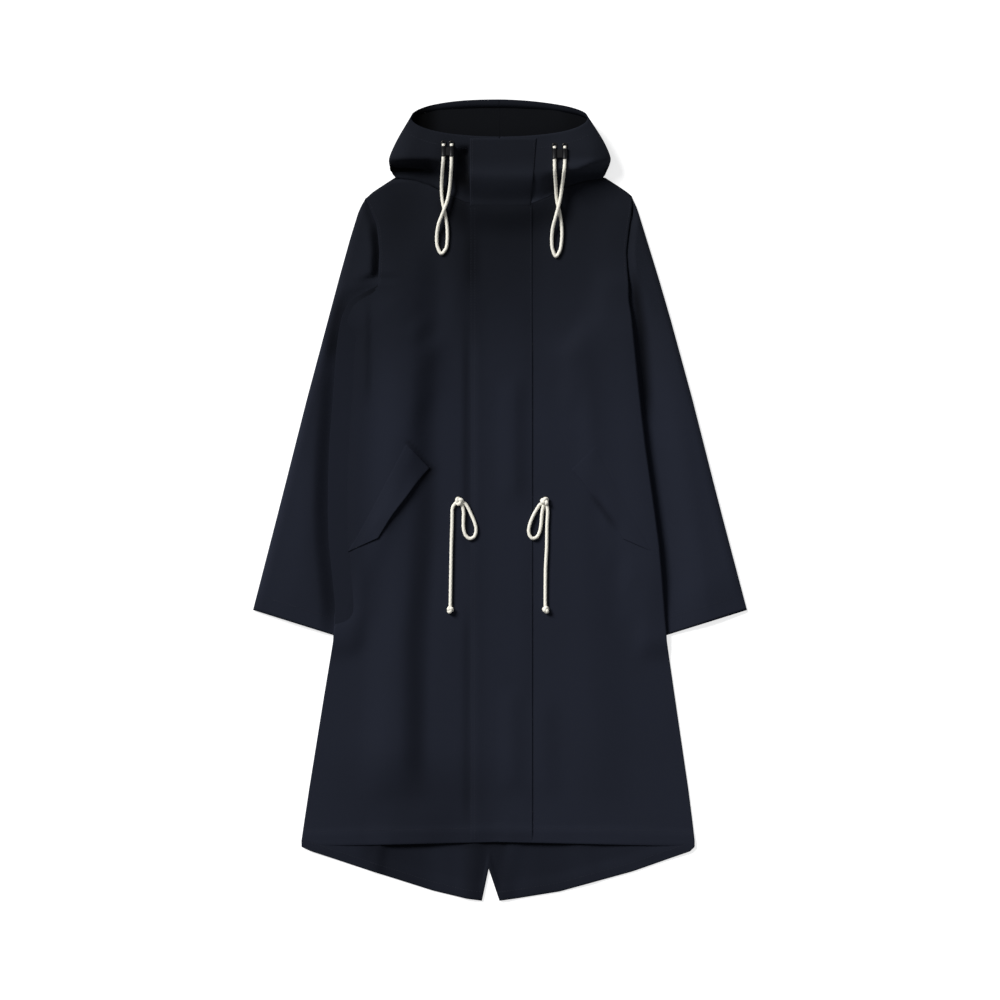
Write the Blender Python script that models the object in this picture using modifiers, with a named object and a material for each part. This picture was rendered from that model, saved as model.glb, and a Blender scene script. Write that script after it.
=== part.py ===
"""A long hooded parka, laid flat and face up on the surface that it rests on.

Units are metres, +Z is up and +Y points from the hem to the hood. The origin is on the surface,
under the middle of the coat. Sides are the wearer's: the right side lies at -X, the left at +X.

From the surface upwards come the sleeves, the back, the two fronts, the placket and the pocket flaps,
and the cords. The hood has collapsed: its back lies on its folded crown, and its front on the chest.
"""

import math
from collections import namedtuple

import bmesh
import bpy
from mathutils import Matrix, Vector
from mathutils.bvhtree import BVHTree

MM = 0.001

# Driving dimensions
COAT_LENGTH = 1.200       # from the rim of the hood to the tips of the fishtail
SPAN = 0.741              # from cuff to cuff
CLOTH = 0.0012            # thickness of one layer of cloth
DOUBLE_CLOTH = 0.0016     # placket and flaps are sewn from two layers
GAP = 0.0003              # between pieces that touch
CORD = 0.0050             # diameter of every drawcord
SLEEVE_HEIGHT = 0.0056    # a flattened sleeve, two layers and the air between them
RISE = 0.0068             # how far the body is lifted where it lies on a sleeve
AIR = 0.0026              # between front and back along the armhole

TOP = COAT_LENGTH / 2     # the rim of the hood
SIDES = {"right": -1, "left": 1}

# The edge of the body. Height is measured from the middle of the coat towards the hood.
BodyEdge = namedtuple("BodyEdge", "height right left")
BODY_EDGE = (
    BodyEdge(454, 202, 199),   # shoulder point
    BodyEdge(430, 192, 197),
    BodyEdge(412, 184, 194),
    BodyEdge(375, 180, 189),
    BodyEdge(322, 182, 192),   # where the body starts to cover the sleeve
    BodyEdge(300, 224, 193),
    BodyEdge(278, 236, 197),
    BodyEdge(240, 244, 201),
    BodyEdge(150, 250, 210),
    BodyEdge(75, 256, 219),
    BodyEdge(0, 258, 230),
    BodyEdge(-75, 256, 240),
    BodyEdge(-150, 246, 246),
    BodyEdge(-210, 249, 249),  # just below the cuffs
    BodyEdge(-300, 264, 262),
    BodyEdge(-450, 288, 284),
    BodyEdge(-519, 298, 292),  # side of the hem
)
SHOULDER_HEIGHT = BODY_EDGE[0].height
SIDE_HEM = BODY_EDGE[-1].height
FRONT_HEM = -512          # height of the front hem at the centre
COLLAR_START = 400        # below this the body's rows are level

# The front neckline dips towards the centre, the back one hardly
FRONT_NECK = ((0, 443), (50, 446), (75, 456), (100, 470), (130, 480), (157, 483), (203, 454))
BACK_NECK = ((0, 486), (157, 484), (203, 454))

# The fishtail's edge from the wearer's right to the left, with the notch beside the centre
TAIL_EDGE = (
    (-298, -519), (-283, -526), (-195, -555), (-100, -585), (-50, -597), (-27, -600),
    (-17, -552), (-1, -600), (22, -597), (90, -586), (199, -556), (285, -526), (292, -519),
)
NOTCH = (-27, -17, -1)

# The outer edge of the sleeves, from the shoulder point to the cuff
SleeveEdge = namedtuple("SleeveEdge", "height right left")
SLEEVE_EDGE = (
    SleeveEdge(454, 202, 199),
    SleeveEdge(430, 213, 208),
    SleeveEdge(375, 230, 225),
    SleeveEdge(300, 250, 248),
    SleeveEdge(150, 290, 289),
    SleeveEdge(0, 328, 327),
    SleeveEdge(-165, SPAN / MM / 2, SPAN / MM / 2),
)
CUFF_WIDTH = 135
CUFF_DIRECTION = Vector((-0.954, -0.298))   # from the outer corner of the cuff towards the body
UNDERARM = Vector((123, 222))               # hidden between the body and the surface
CUFF_INNER = Vector((SLEEVE_EDGE[-1].right, SLEEVE_EDGE[-1].height)) + CUFF_WIDTH * CUFF_DIRECTION

# The outline of the collapsed hood: how far it reaches on each side
HoodEdge = namedtuple("HoodEdge", "height right left")
HOOD_EDGE = (
    HoodEdge(483, 157, 155),
    HoodEdge(492, 162, 158),
    HoodEdge(504, 165, 163),
    HoodEdge(515, 164, 164),
    HoodEdge(540, 153, 152),
    HoodEdge(577, 132, 129),
    HoodEdge(600, 120, 117),
)
MOUTH_CORNER = 577        # height of the mouth's two ends
MOUTH_FRONT = 544         # the front rim at the centre
HOOD_TOP = 0.037          # the front of the hood above the surface
SIDE_FOLD = ((506, 21), (540, 27), (577, 35))       # where its side folds lie, and how high
CROWN_FRONT, CROWN_BACK = 503, 592                  # the folded bag beneath, a wedge
CROWN_LOW, CROWN_HIGH = 9, 27                       # its thickness there
CROWN_HALF_WIDTH = 138
CROWN_SIDES = 32
BACK_RIM = 33             # the height of the rim behind the mouth, propped up by the bag
NECK_SEAM = 1.2           # between the fronts and the hood, whose curves turn at unlike places

# Where the hood's front drops to the neckline: it starts and ends at these heights
Drop = namedtuple("Drop", "reach foot top")
HOOD_DROP = {
    "right": (Drop(0, 444, 492), Drop(55, 450, 494), Drop(80, 470, 506), Drop(105, 492, 511),
              Drop(165, 494, 511)),
    "left": (Drop(0, 444, 492), Drop(60, 448, 492), Drop(85, 466, 496), Drop(115, 476, 496),
             Drop(140, 484, 506), Drop(165, 492, 513)),
}

PLACKET = (-46, 49)       # its stitched edge and its free edge
THROAT = (-45, 55)
FLAP_CORNERS = {          # top, tip, lower tip and lower end, as distances out and heights
    "right": ((142, 86), (105, 48), (183, -57), (228, -78)),
    "left": ((143, 84), (106, 46), (184, -58), (229, -78)),
}

Fold = namedtuple("Fold", "reach width height top bottom drift")
FOLDS = {                 # soft ridges that run down the fronts
    "right": (
        Fold(150, 34, 2.4, 360, -500, 22),
        Fold(68, 22, 1.6, 380, -480, 4),
    ),
    "left": (
        Fold(120, 40, 1.8, 350, -500, 14),
        Fold(72, 18, 1.0, 340, -470, 4),
    ),
}

NAVY = (31, 33, 44)
NAVY_INSIDE = (20, 22, 26)
NAVY_UNDER = (24, 26, 34)
CREAM = (226, 222, 208)
BLACK = (18, 18, 20)


# --- helpers -----------------------------------------------------------------------------------

def linear(channel):
    """A display colour channel from 0 to 255 as the linear value that a shader takes."""
    value = channel / 255
    return value / 12.92 if value < 0.04045 else ((value + 0.055) / 1.055) ** 2.4


def finish(name, color, roughness, metallic=0.0):
    material = bpy.data.materials.new(name)
    material.use_nodes = True
    shader = material.node_tree.nodes["Principled BSDF"]
    shader.inputs["Base Color"].default_value = (*[linear(c) for c in color], 1)
    shader.inputs["Roughness"].default_value = roughness
    shader.inputs["Metallic"].default_value = metallic
    return material


def read(pairs, at):
    """The value that a table of (key, value) pairs gives at a key, straight between its rows."""
    rows = sorted(pairs)
    if at <= rows[0][0]:
        return rows[0][1]
    for (low, first), (high, second) in zip(rows, rows[1:]):
        if at <= high:
            return first + (second - first) * (at - low) / (high - low)
    return rows[-1][1]


def column(table, key, value):
    return [(getattr(row, key), getattr(row, value)) for row in table]


def smooth(value, start, end):
    """0 before start, 1 after end, and an S-curve between them."""
    share = min(1.0, max(0.0, (value - start) / (end - start)))
    return share * share * (3 - 2 * share)


def spread(first, last, steps):
    """Evenly spaced values after first, up to and with last."""
    return [first + (last - first) * (i + 1) / steps for i in range(steps)]


def add_object(name, mesh, material):
    mesh.materials.append(material)
    mesh.shade_smooth()
    made = bpy.data.objects.new(name, mesh)
    coat.objects.link(made)
    return made


def add_sheet(name, rows, thickness, material, outwards=False, closed=False):
    """A grid of points in metres as one layer of cloth. It thickens away from its face, or out of it."""
    mesh = bpy.data.meshes.new(name)
    width = len(rows[0])
    points = [tuple(point) for row in rows for point in row]
    faces = []
    for r in range(len(rows) - 1):
        for c in range(width if closed else width - 1):
            near, far = r * width, (r + 1) * width
            following = (c + 1) % width
            faces.append((near + c, near + following, far + following, far + c))
    mesh.from_pydata(points, [], faces)
    made = add_object(name, mesh, material)
    wall = made.modifiers.new("cloth", "SOLIDIFY")
    wall.thickness = thickness
    wall.offset = 1 if outwards else -1
    return made


def surface_of(objects):
    """The outer faces of finished pieces, for laying others on them."""
    bpy.context.view_layer.update()
    graph = bpy.context.evaluated_depsgraph_get()
    points, faces = [], []
    for item in objects:
        evaluated = item.evaluated_get(graph)
        mesh = evaluated.to_mesh()
        start = len(points)
        points += [evaluated.matrix_world @ vertex.co for vertex in mesh.vertices]
        faces += [[start + v for v in polygon.vertices] for polygon in mesh.polygons]
        evaluated.to_mesh_clear()
    return BVHTree.FromPolygons(points, faces)


def height_on(surface, x, y, reach):
    """The highest that a surface stands within reach of a point, in metres."""
    highest = 0.0
    for step in range(9):
        turn = step * math.pi / 4
        away = reach if step < 8 else 0.0
        start = Vector((x + away * math.cos(turn), y + away * math.sin(turn), 0.2))
        hit = surface.ray_cast(start, Vector((0, 0, -1)))[0]
        if hit is not None:
            highest = max(highest, hit.z)
    return highest


# --- the form of the body ----------------------------------------------------------------------

def body_reach(side, height):
    return read(column(BODY_EDGE, "height", side), height)


def body_lift(x, y):
    """How far a sleeve underneath lifts the body, in metres, at a place in millimetres."""
    inner = read(((-205, CUFF_INNER.x), (222, UNDERARM.x), (270, 172), (330, 182)), y)
    beside = smooth(abs(x), inner - 46, inner - 16)
    above = 1 - smooth(y, 326, 350)
    below = smooth(y, -240, -212)
    return RISE * beside * above * below


def fold_height(side, x, y):
    height = 0.0
    for fold in FOLDS[side]:
        along = smooth(y, fold.bottom, fold.bottom + 90) * (1 - smooth(y, fold.top - 120, fold.top))
        centre = fold.reach + fold.drift * (fold.top - y) / (fold.top - fold.bottom)
        away = (abs(x) - centre) / fold.width
        height += fold.height * MM * (0.35 + 0.65 * along) * along * math.exp(-away * away)
    return height


def neck_lift(x, y):
    """The fronts rise towards the throat, which the hood holds up."""
    strength = read(((0, 16.5), (50, 16), (75, 11), (100, 6), (130, 4), (157, 3), (203, 1)), abs(x))
    distance = read(FRONT_NECK, abs(x)) - y
    return strength * MM * (1 - smooth(distance, 0, 62)) ** 1.4


def armhole_air(side, x, y):
    inside = body_reach(side, y) - abs(x)
    along = smooth(y, 318, 345) * (1 - smooth(y, 425, 460))
    return AIR * along * (1 - smooth(inside, 10, 60))


def front_base(side, x, y):
    """The underside of a front at a place in millimetres, in metres."""
    air = fold_height(side, x, y) + neck_lift(x, y) + armhole_air(side, x, y)
    return body_lift(x, y) + CLOTH + GAP + air


def hem_height(x):
    """The front hem, a shallow curve."""
    return FRONT_HEM + (SIDE_HEM - FRONT_HEM) * (abs(x) / BODY_EDGE[-1].right) ** 2


LEVELS = ([COLLAR_START, 372, 345, 322, 311, 300, 288, 278] + spread(278, 222, 2)
          + spread(222, -160, 8) + [-190, -212, -240] + spread(-240, -480, 5))
COLLAR_ROWS = 4
SHARES = (1.0, 0.955, 0.885, 0.805, 0.72, 0.63, 0.53, 0.43, 0.33, 0.23)


def body_rows(side, neckline, hemline, inner_columns):
    """Rows of (x, y) in millimetres, from the neckline to the hem, and from the edge to the centre."""
    sign = SIDES[side]
    rows = []
    for step in range(COLLAR_ROWS, 0, -1):
        share = step / COLLAR_ROWS
        outer_height = COLLAR_START + (SHOULDER_HEIGHT - COLLAR_START) * share
        reach = body_reach(side, outer_height)
        places = [sign * reach * part for part in SHARES] + list(inner_columns)
        rows.append([(x, COLLAR_START + (read(neckline, abs(x)) - COLLAR_START) * share)
                     for x in places])
        rows[-1][0] = (sign * reach, outer_height)
    for height in LEVELS:
        places = [sign * body_reach(side, height) * part for part in SHARES] + list(inner_columns)
        rows.append([(x, height) for x in places])
    last = rows[-1]
    reach = body_reach(side, SIDE_HEM)
    places = [sign * reach * part for part in SHARES] + list(inner_columns)
    for share in hemline["shares"]:
        rows.append([(x, old[1] + (hemline["height"](x) - old[1]) * share)
                     for x, old in zip(places, last)])
    return rows


def make_front(side, material):
    sign = SIDES[side]
    hem = {"shares": (1.0,), "height": hem_height}
    rows = body_rows(side, FRONT_NECK, hem, [sign * 30, sign * 1.0])
    points = [[(x * MM, y * MM, front_base(side, x, y)) for x, y in row] for row in rows]
    if side == "left":
        points = [row[::-1] for row in points]
    return add_sheet("front_" + side, points[::-1], CLOTH, material, outwards=True)


def make_back(material):
    def tail(x):
        return read(TAIL_EDGE, x)

    hem = {"shares": (0.36, 0.68, 1.0), "height": tail}
    right = body_rows("right", BACK_NECK, hem, NOTCH)
    left = body_rows("left", BACK_NECK, hem, (22,))
    rows = [first + second[::-1] for first, second in zip(right, left)]
    points = [[(x * MM, y * MM, body_lift(x, y)) for x, y in row] for row in rows]
    return add_sheet("back", points[::-1], CLOTH, material, outwards=True)


# --- sleeves -----------------------------------------------------------------------------------

def make_sleeve(side, material):
    """A flattened tube between the cuff, the outer fold, the hidden inner fold and the armhole."""
    sign = SIDES[side]
    seam = [Vector((reach, height)) for height, reach in armhole_points(side)]
    seam[0].x += 1.6 * CLOTH / MM       # the wall of the fold turns in here
    seam += [Vector((176, 285)), Vector((150, 250)), UNDERARM]
    lengths = [0.0]
    for first, second in zip(seam, seam[1:]):
        lengths.append(lengths[-1] + (second - first).length)
    across = [length / lengths[-1] for length in lengths]

    cuff_outer = Vector((SLEEVE_EDGE[-1].right, SLEEVE_EDGE[-1].height))
    outer_edge = column(SLEEVE_EDGE[1:], "height", side) + [(SHOULDER_HEIGHT, seam[0].x)]
    corners = cuff_outer, CUFF_INNER, seam[0], seam[-1]

    def plan(share, along):
        outer_height = corners[0].y + (corners[2].y - corners[0].y) * along
        outer = Vector((read(outer_edge, outer_height), outer_height))
        cuff = corners[0].lerp(corners[1], share)
        end = seam[across.index(share)]
        straight_outer = corners[0].lerp(corners[2], along)
        return cuff.lerp(end, along) + (1 - share) * (outer - straight_outer)

    rows = []
    for along in [0.0, 0.03] + spread(0.03, 0.9, 9) + [0.96, 1.0]:
        upper, lower = [], []
        for index, share in enumerate(across):
            at = plan(share, along)
            place = (sign * at.x * MM, at.y * MM)
            at_fold = index in (0, len(across) - 1)
            upper.append((*place, SLEEVE_HEIGHT * 0.45 if at_fold else SLEEVE_HEIGHT))
            lower.append((*place, 0.0))
        ring = upper + lower[-2:0:-1]
        rows.append(ring if side == "right" else ring[::-1])
    return add_sheet("sleeve_" + side, rows, CLOTH, material, closed=True)


def armhole_points(side):
    """The seam that shows, at the heights of the body's own rows, a seam's gap outside it."""
    heights = [SHOULDER_HEIGHT]
    heights += [COLLAR_START + (SHOULDER_HEIGHT - COLLAR_START) * step / COLLAR_ROWS
                for step in range(COLLAR_ROWS - 1, 0, -1)]
    heights += [COLLAR_START, 372, 345, 322]
    return [(height, body_reach(side, height) + 1.5 * GAP / MM) for height in heights]


# --- hood --------------------------------------------------------------------------------------

def hood_reach(side, height):
    return read(column(HOOD_EDGE, "height", side), height)


def hood_front(side, x, y):
    """The outer face of the hood's front, in metres, at a place in millimetres."""
    foot = read(column(HOOD_DROP[side], "reach", "foot"), abs(x))
    top = read(column(HOOD_DROP[side], "reach", "top"), abs(x))
    edge = read(FRONT_NECK, abs(x))
    low = front_base(side, x, min(y, edge)) + CLOTH
    height = low + (HOOD_TOP - low) * smooth(y, foot, top)
    share = abs(x) / hood_reach(side, y)
    fold = low + (read(SIDE_FOLD, y) * MM - low) * smooth(y, 484, 506)
    rounding = math.sqrt(max(0.0, 1 - max(0.0, (share - 0.8) / 0.2) ** 2))
    return fold + (height - fold) * rounding


def crown_top(y):
    share = min(1.0, max(0.0, (y - CROWN_FRONT) / (CROWN_BACK - CROWN_FRONT)))
    return (CROWN_LOW + (CROWN_HIGH - CROWN_LOW) * share) * MM


def hood_back(side, x, y):
    """The outer face of the hood's back, which is its underside."""
    lying = GAP + (crown_top(y) + 2 * GAP) * smooth(y, 486, 499)
    lying += (BACK_RIM - CROWN_HIGH) * MM * smooth(y, 585, 600)
    share = abs(x) / hood_reach(side, y)
    fold = lying + (read(SIDE_FOLD, y) * MM - lying) * smooth(y, 484, 506)
    rounding = math.sqrt(max(0.0, 1 - max(0.0, (share - 0.86) / 0.14) ** 2))
    return fold + (lying - fold) * rounding


def rim_front(share):
    return MOUTH_CORNER - (MOUTH_CORNER - MOUTH_FRONT) * math.sqrt(1 - share * share)


def rim_back(side, share):
    fullness = 2.5 if side == "right" else 1.7
    return MOUTH_CORNER + (TOP / MM - MOUTH_CORNER) * math.sqrt(1 - share ** fullness)


def make_hood(side, material):
    sign = SIDES[side]
    front_shares = (0.007, 0.18, 0.32, 0.44, 0.54, 0.64, 0.74, 0.84, 0.92, 0.975)
    back_shares = (0.985, 0.93, 0.8, 0.6, 0.35, 0.02)
    columns = []
    for share in front_shares:
        x = share * hood_reach(side, 480)
        neck = read(FRONT_NECK, x) + NECK_SEAM
        foot = read(column(HOOD_DROP[side], "reach", "foot"), x)
        top = read(column(HOOD_DROP[side], "reach", "top"), x)
        rim = rim_front(share)
        heights = [neck, foot + 1, *spread(foot + 1, top, 4), (top + rim) / 2, rim]
        columns.append([hood_point(side, share, height, hood_front) for height in heights])
    heights = [485.5, 489, 493, 498, 505, 515, 545, MOUTH_CORNER]
    columns.append([hood_point(side, 1.0, height, hood_front) for height in heights])
    for share in back_shares:
        rim = rim_back(side, share)
        heights = [487, 490, 493, 497, 502, 530, min(584, rim - 8), rim]
        columns.append([hood_point(side, share, height, hood_back) for height in heights])
    rows = [list(row) for row in zip(*columns)]
    rows = [[(sign * x, y, z) for x, y, z in row] for row in rows]
    if side == "left":
        rows = rows[::-1]
    return add_sheet("hood_" + side, rows[::-1], CLOTH, material)


def hood_point(side, share, height, face):
    x = share * hood_reach(side, height)
    return (x * MM, height * MM, face(side, x, height))


def make_crown(material):
    """The folded bag of the hood: a rounded wedge whose edge shows three layers of cloth."""
    middle, half_depth = (CROWN_FRONT + CROWN_BACK) / 2, (CROWN_BACK - CROWN_FRONT) / 2
    # share of the wedge's height, and how far the edge is drawn in there
    levels = ((0, 2.5), (0.08, 0), (0.28, 0), (0.33, 2.0), (0.38, 0), (0.6, 0), (0.65, 2.0),
              (0.7, 0), (0.86, 0.8), (0.96, 3.0), (1.0, 7.0))
    mesh = bpy.data.meshes.new("hood_crown")
    built = bmesh.new()
    rings = []
    for level, inset in levels:
        ring = []
        for index in range(CROWN_SIDES):
            turn = index / CROWN_SIDES * math.tau
            cos, sin = math.cos(turn), math.sin(turn)
            x = math.copysign(abs(cos) ** 0.5, cos) * (CROWN_HALF_WIDTH - inset)
            y = middle + math.copysign(abs(sin) ** 0.6, sin) * (half_depth - inset)
            ring.append(built.verts.new((x * MM, y * MM, level * crown_top(y))))
        rings.append(ring)
    for lower, upper in zip(rings, rings[1:]):
        for index in range(CROWN_SIDES):
            following = (index + 1) % CROWN_SIDES
            built.faces.new((lower[index], lower[following], upper[following], upper[index]))
    built.faces.new(rings[0][::-1])
    built.faces.new(rings[-1])
    built.to_mesh(mesh)
    built.free()
    return add_object("hood_crown", mesh, material)


# --- what lies on the panels --------------------------------------------------------------------

def lay_sheet(name, surface, rows, thickness, reach, material):
    """A sheet given by (x, y) rows in millimetres, laid on finished pieces."""
    points = [[(x * MM, y * MM, GAP + max(height_on(surface, x * MM, y * MM, reach * MM),
                                          height_on(surface, x * MM, y * MM, reach / 2 * MM)))
               for x, y in row] for row in rows]
    return add_sheet(name, points, thickness, material, outwards=True)


def make_placket(surface, material):
    heights = [FRONT_HEM, *[level for level in LEVELS[::-1] if level not in (311, 288, 278)]]
    heights += spread(COLLAR_START, 441, 3)
    across = [PLACKET[0] + (PLACKET[1] - PLACKET[0]) * i / 6 for i in range(7)]
    rows = [[(x, height) for x in across] for height in heights]
    return lay_sheet("placket", surface, rows, DOUBLE_CLOTH, 4, material)


def make_throat(surface, material):
    heights = [443.5, *spread(443.5, 500, 7), 515, 530, MOUTH_FRONT - 0.6]
    across = [THROAT[0] + (THROAT[1] - THROAT[0]) * i / 6 for i in range(7)]
    rows = [[(x, height) for x in across] for height in heights]
    return lay_sheet("throat_flap", surface, rows, DOUBLE_CLOTH, 6, material)


def make_pocket_flap(side, surface, material):
    sign = SIDES[side]
    top, tip, lower_tip, lower_end = [Vector((sign * x, y)) for x, y in FLAP_CORNERS[side]]
    rows = []
    for i in range(8):
        along = i / 7
        sewn = top.lerp(lower_end, along)
        free = tip.lerp(lower_tip, along)
        rows.append([tuple(sewn.lerp(free, j / 4)) for j in range(5)])
    if side == "left":
        rows = rows[::-1]
    return lay_sheet("pocket_flap_" + side, surface, rows[::-1], DOUBLE_CLOTH, 16, material)


# --- cords and their fittings -------------------------------------------------------------------

EYELET_OUTER = 4.2        # radii in millimetres
EYELET_INNER = 2.9
EYELET_HEIGHT = 1.0
EYELET_SIDES = 16
BARREL_RADIUS = 3.9
BARREL_BORE = 2.85
BARREL_LENGTH = 12
CORD_CLEAR = CORD / 2 + 0.0006

# Each hood cord goes down one side of its loop, round the end and back up the other
HOOD_LOOP = {
    "right": ((84.5, 515), (86, 495), (87.5, 470), (86.5, 450), (83, 432), (79.5, 412), (79, 390),
              (82, 374), (87, 369.5), (92, 374), (95, 390), (92.5, 412), (85, 432), (78.5, 450),
              (75, 470), (73, 495), (72.5, 515)),
    "left": ((82.5, 507), (82.5, 490), (83.5, 470), (85, 450), (89.5, 430), (92.5, 410), (92.5, 390),
             (89, 371), (84.5, 365.5), (80, 370), (77.5, 390), (79.5, 410), (85, 430), (90, 450),
             (92.5, 470), (94, 490), (94.5, 507)),
}
LOOP_CROSSING = {"right": 437, "left": 440}
TOGGLE_PLACE = {"right": (78.5, 523), "left": (88.5, 515)}
EYELET_LIFT = 12.5        # from the toggle's middle to the eyelets
STRAIGHT = 14             # the cord is level this far below the toggle's middle

WAIST_EYELET = {"right": (62, 6.5), "left": (68, 6.5)}
WAIST_KNOT = {"right": (61.5, -3.5), "left": (67.5, -3.5)}
WAIST_LOOP = {
    "right": ((54, -3), (47, -9), (39, -22), (33.5, -38), (33, -50), (38, -57.5), (45, -57.5),
              (51.5, -50), (53.5, -38), (51.5, -26), (51, -15), (54.5, -9.5)),
    "left": ((60.5, -4), (54.5, -10), (48, -22), (43.5, -38), (43.5, -50), (48, -57.5), (54, -57.5),
             (59.5, -50), (61.5, -38), (61.5, -26), (61.5, -19), (63.5, -11.5)),
}
WAIST_TAIL = {
    "right": ((70, -8.5), (71.5, -16), (72, -40), (73, -70), (73.5, -100), (74, -130), (74.5, -157)),
    "left": ((71, -11), (71.5, -18), (70.5, -40), (70, -70), (68.5, -100), (68, -130), (68, -157)),
}
END_KNOT = {"right": (75, -165), "left": (69, -165)}
KNOT_SIZE = (13, 10, 8)   # across, along and high
END_KNOT_SIZE = (9.5, 10, 8)


def curve_through(points, spacing):
    """Points a given distance apart on a smooth curve through a route's own points."""
    points = [Vector(point) for point in points]
    ends = [2 * points[0] - points[1]] + points + [2 * points[-1] - points[-2]]
    fine = []
    for a, b, c, d in zip(ends, ends[1:], ends[2:], ends[3:]):
        for step in range(12):
            t = step / 12
            fine.append(0.5 * (2 * b + (c - a) * t + (2 * a - 5 * b + 4 * c - d) * t * t
                               + (3 * b - a - 3 * c + d) * t ** 3))
    fine.append(points[-1])
    total = sum((second - first).length for first, second in zip(fine, fine[1:]))
    count = max(2, round(total / spacing))
    wanted = [total * index / count for index in range(count + 1)]
    placed, run, index = [fine[0]], 0.0, 1
    for first, second in zip(fine, fine[1:]):
        step = (second - first).length
        while index < count and run + step >= wanted[index]:
            placed.append(first.lerp(second, (wanted[index] - run) / step))
            index += 1
        run += step
    return placed + [fine[-1]]


def laid_route(side, plan, surface, spacing=12.0):
    """A cord's plan in millimetres, laid on finished pieces: points in metres."""
    sign = SIDES[side]
    flat = curve_through([(x, y) for x, y in plan], spacing)
    route = [Vector((sign * p.x * MM, p.y * MM, 0)) for p in flat]
    for point in route:
        point.z = height_on(surface, point.x, point.y, CORD * 0.9) + CORD_CLEAR
    return route


def add_cord(name, route, material):
    curve = bpy.data.curves.new(name, "CURVE")
    curve.dimensions = "3D"
    curve.bevel_depth = CORD / 2
    curve.bevel_resolution = 2
    curve.use_fill_caps = True
    spline = curve.splines.new("POLY")
    spline.points.add(len(route) - 1)
    for point, place in zip(spline.points, route):
        point.co = (*place, 1)
    curve.materials.append(material)
    made = bpy.data.objects.new(name, curve)
    coat.objects.link(made)
    return made


def make_hood_cord(side, surface, axis_height, material):
    """The loop, with its second strand humped over the first where they cross."""
    x, y = TOGGLE_PLACE[side]
    start = HOOD_LOOP[side][0][0]
    end = HOOD_LOOP[side][-1][0]
    reach = EYELET_LIFT - 1
    plan = [(start, y + reach), (start, y), *HOOD_LOOP[side], (end, y), (end, y + reach)]
    route = laid_route(side, plan, surface)
    turn = min(range(len(route)), key=lambda index: route[index].y)
    for index, point in enumerate(route):
        if point.y > (y - STRAIGHT) * MM:
            point.z = axis_height
        if index > turn:
            away = abs(point.y / MM - LOOP_CROSSING[side])
            point.z += (CORD + 0.0006) * (1 - smooth(away, 18, 44))
    ease(route, (y - STRAIGHT) * MM)
    return add_cord("cord_hood_" + side, route, material)


def ease(route, fixed_above):
    """Takes the kinks out of a route's heights and never lowers it onto what it lies on."""
    for _ in range(3):
        heights = [point.z for point in route]
        for index in range(1, len(route) - 1):
            if route[index].y < fixed_above:
                middle = (heights[index - 1] + heights[index + 1]) / 2
                route[index].z = max(heights[index], 0.5 * (heights[index] + middle))


def make_eyelet(name, x, y, surface, material):
    """A flat ring with rounded edges, turned about an upright axis. It sits on the cloth."""
    edge = 0.3 * EYELET_HEIGHT
    profile = ((EYELET_OUTER, EYELET_HEIGHT - edge), (EYELET_OUTER, 0), (EYELET_INNER, 0),
               (EYELET_INNER, EYELET_HEIGHT - edge), (EYELET_INNER + edge, EYELET_HEIGHT),
               (EYELET_OUTER - edge, EYELET_HEIGHT))
    mesh = bpy.data.meshes.new(name)
    mesh.from_pydata([(radius * MM, 0, height * MM) for radius, height in profile],
                     [(i, (i + 1) % len(profile)) for i in range(len(profile))], [])
    made = add_object(name, mesh, material)
    made.location = (x * MM, y * MM, height_on(surface, x * MM, y * MM, EYELET_OUTER * MM) + GAP)
    turn = made.modifiers.new("turn", "SCREW")
    turn.steps = turn.render_steps = EYELET_SIDES
    turn.use_merge_vertices = True
    turn.merge_threshold = 0.00001


def barrel(radius, length, x, z):
    bpy.ops.mesh.primitive_cylinder_add(vertices=20, radius=radius * MM, depth=length * MM,
                                        location=(x * MM, 0, z), rotation=(math.pi / 2, 0, 0))
    made = bpy.context.object
    for owner in made.users_collection:
        owner.objects.unlink(made)
    return made


def make_toggle(side, surface, material):
    """Two short barrels side by side with a web between them. Returns the height of their axes."""
    x, y = TOGGLE_PLACE[side]
    sign = SIDES[side]
    spacing = abs(HOOD_LOOP[side][0][0] - HOOD_LOOP[side][-1][0])
    ground = max(height_on(surface, sign * (x + dx) * MM, (y + dy) * MM, 2 * MM)
                 for dx in (-8, -4, 0, 4, 8) for dy in (-6, 0, 6))
    axis = ground + GAP + BARREL_RADIUS * MM
    shells = [barrel(BARREL_RADIUS, BARREL_LENGTH, offset, 0) for offset in
              (-spacing / 2, spacing / 2)]
    bpy.ops.mesh.primitive_cube_add(size=1)
    web = bpy.context.object
    for owner in web.users_collection:
        owner.objects.unlink(web)
    web.data.transform(Matrix.Diagonal((spacing * 0.6 * MM, BARREL_LENGTH * 0.8 * MM,
                                        BARREL_RADIUS * MM, 1)))
    bores = [barrel(BARREL_BORE, BARREL_LENGTH * 2, offset, 0) for offset in
             (-spacing / 2, spacing / 2)]
    toggle = shells[0]
    toggle.name = toggle.data.name = "toggle_" + side
    toggle.data.transform(toggle.matrix_basis)
    toggle.matrix_basis.identity()
    coat.objects.link(toggle)
    for helper in (shells[1], web, *bores):
        helpers.objects.link(helper)
        helper.hide_render = True
        helper.display_type = "WIRE"
        helper.parent = toggle
    shells[1].name, web.name = "barrel_" + side, "web_" + side
    for number, bore in enumerate(bores):
        bore.name = f"bore_{side}_{number}"
    for helper, operation in ((shells[1], "UNION"), (web, "UNION"),
                              (bores[0], "DIFFERENCE"), (bores[1], "DIFFERENCE")):
        step = toggle.modifiers.new(helper.name, "BOOLEAN")
        step.operation = operation
        step.object = helper
    toggle.location = (sign * x * MM, y * MM, axis)
    toggle.data.materials.append(material)
    return axis


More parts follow.
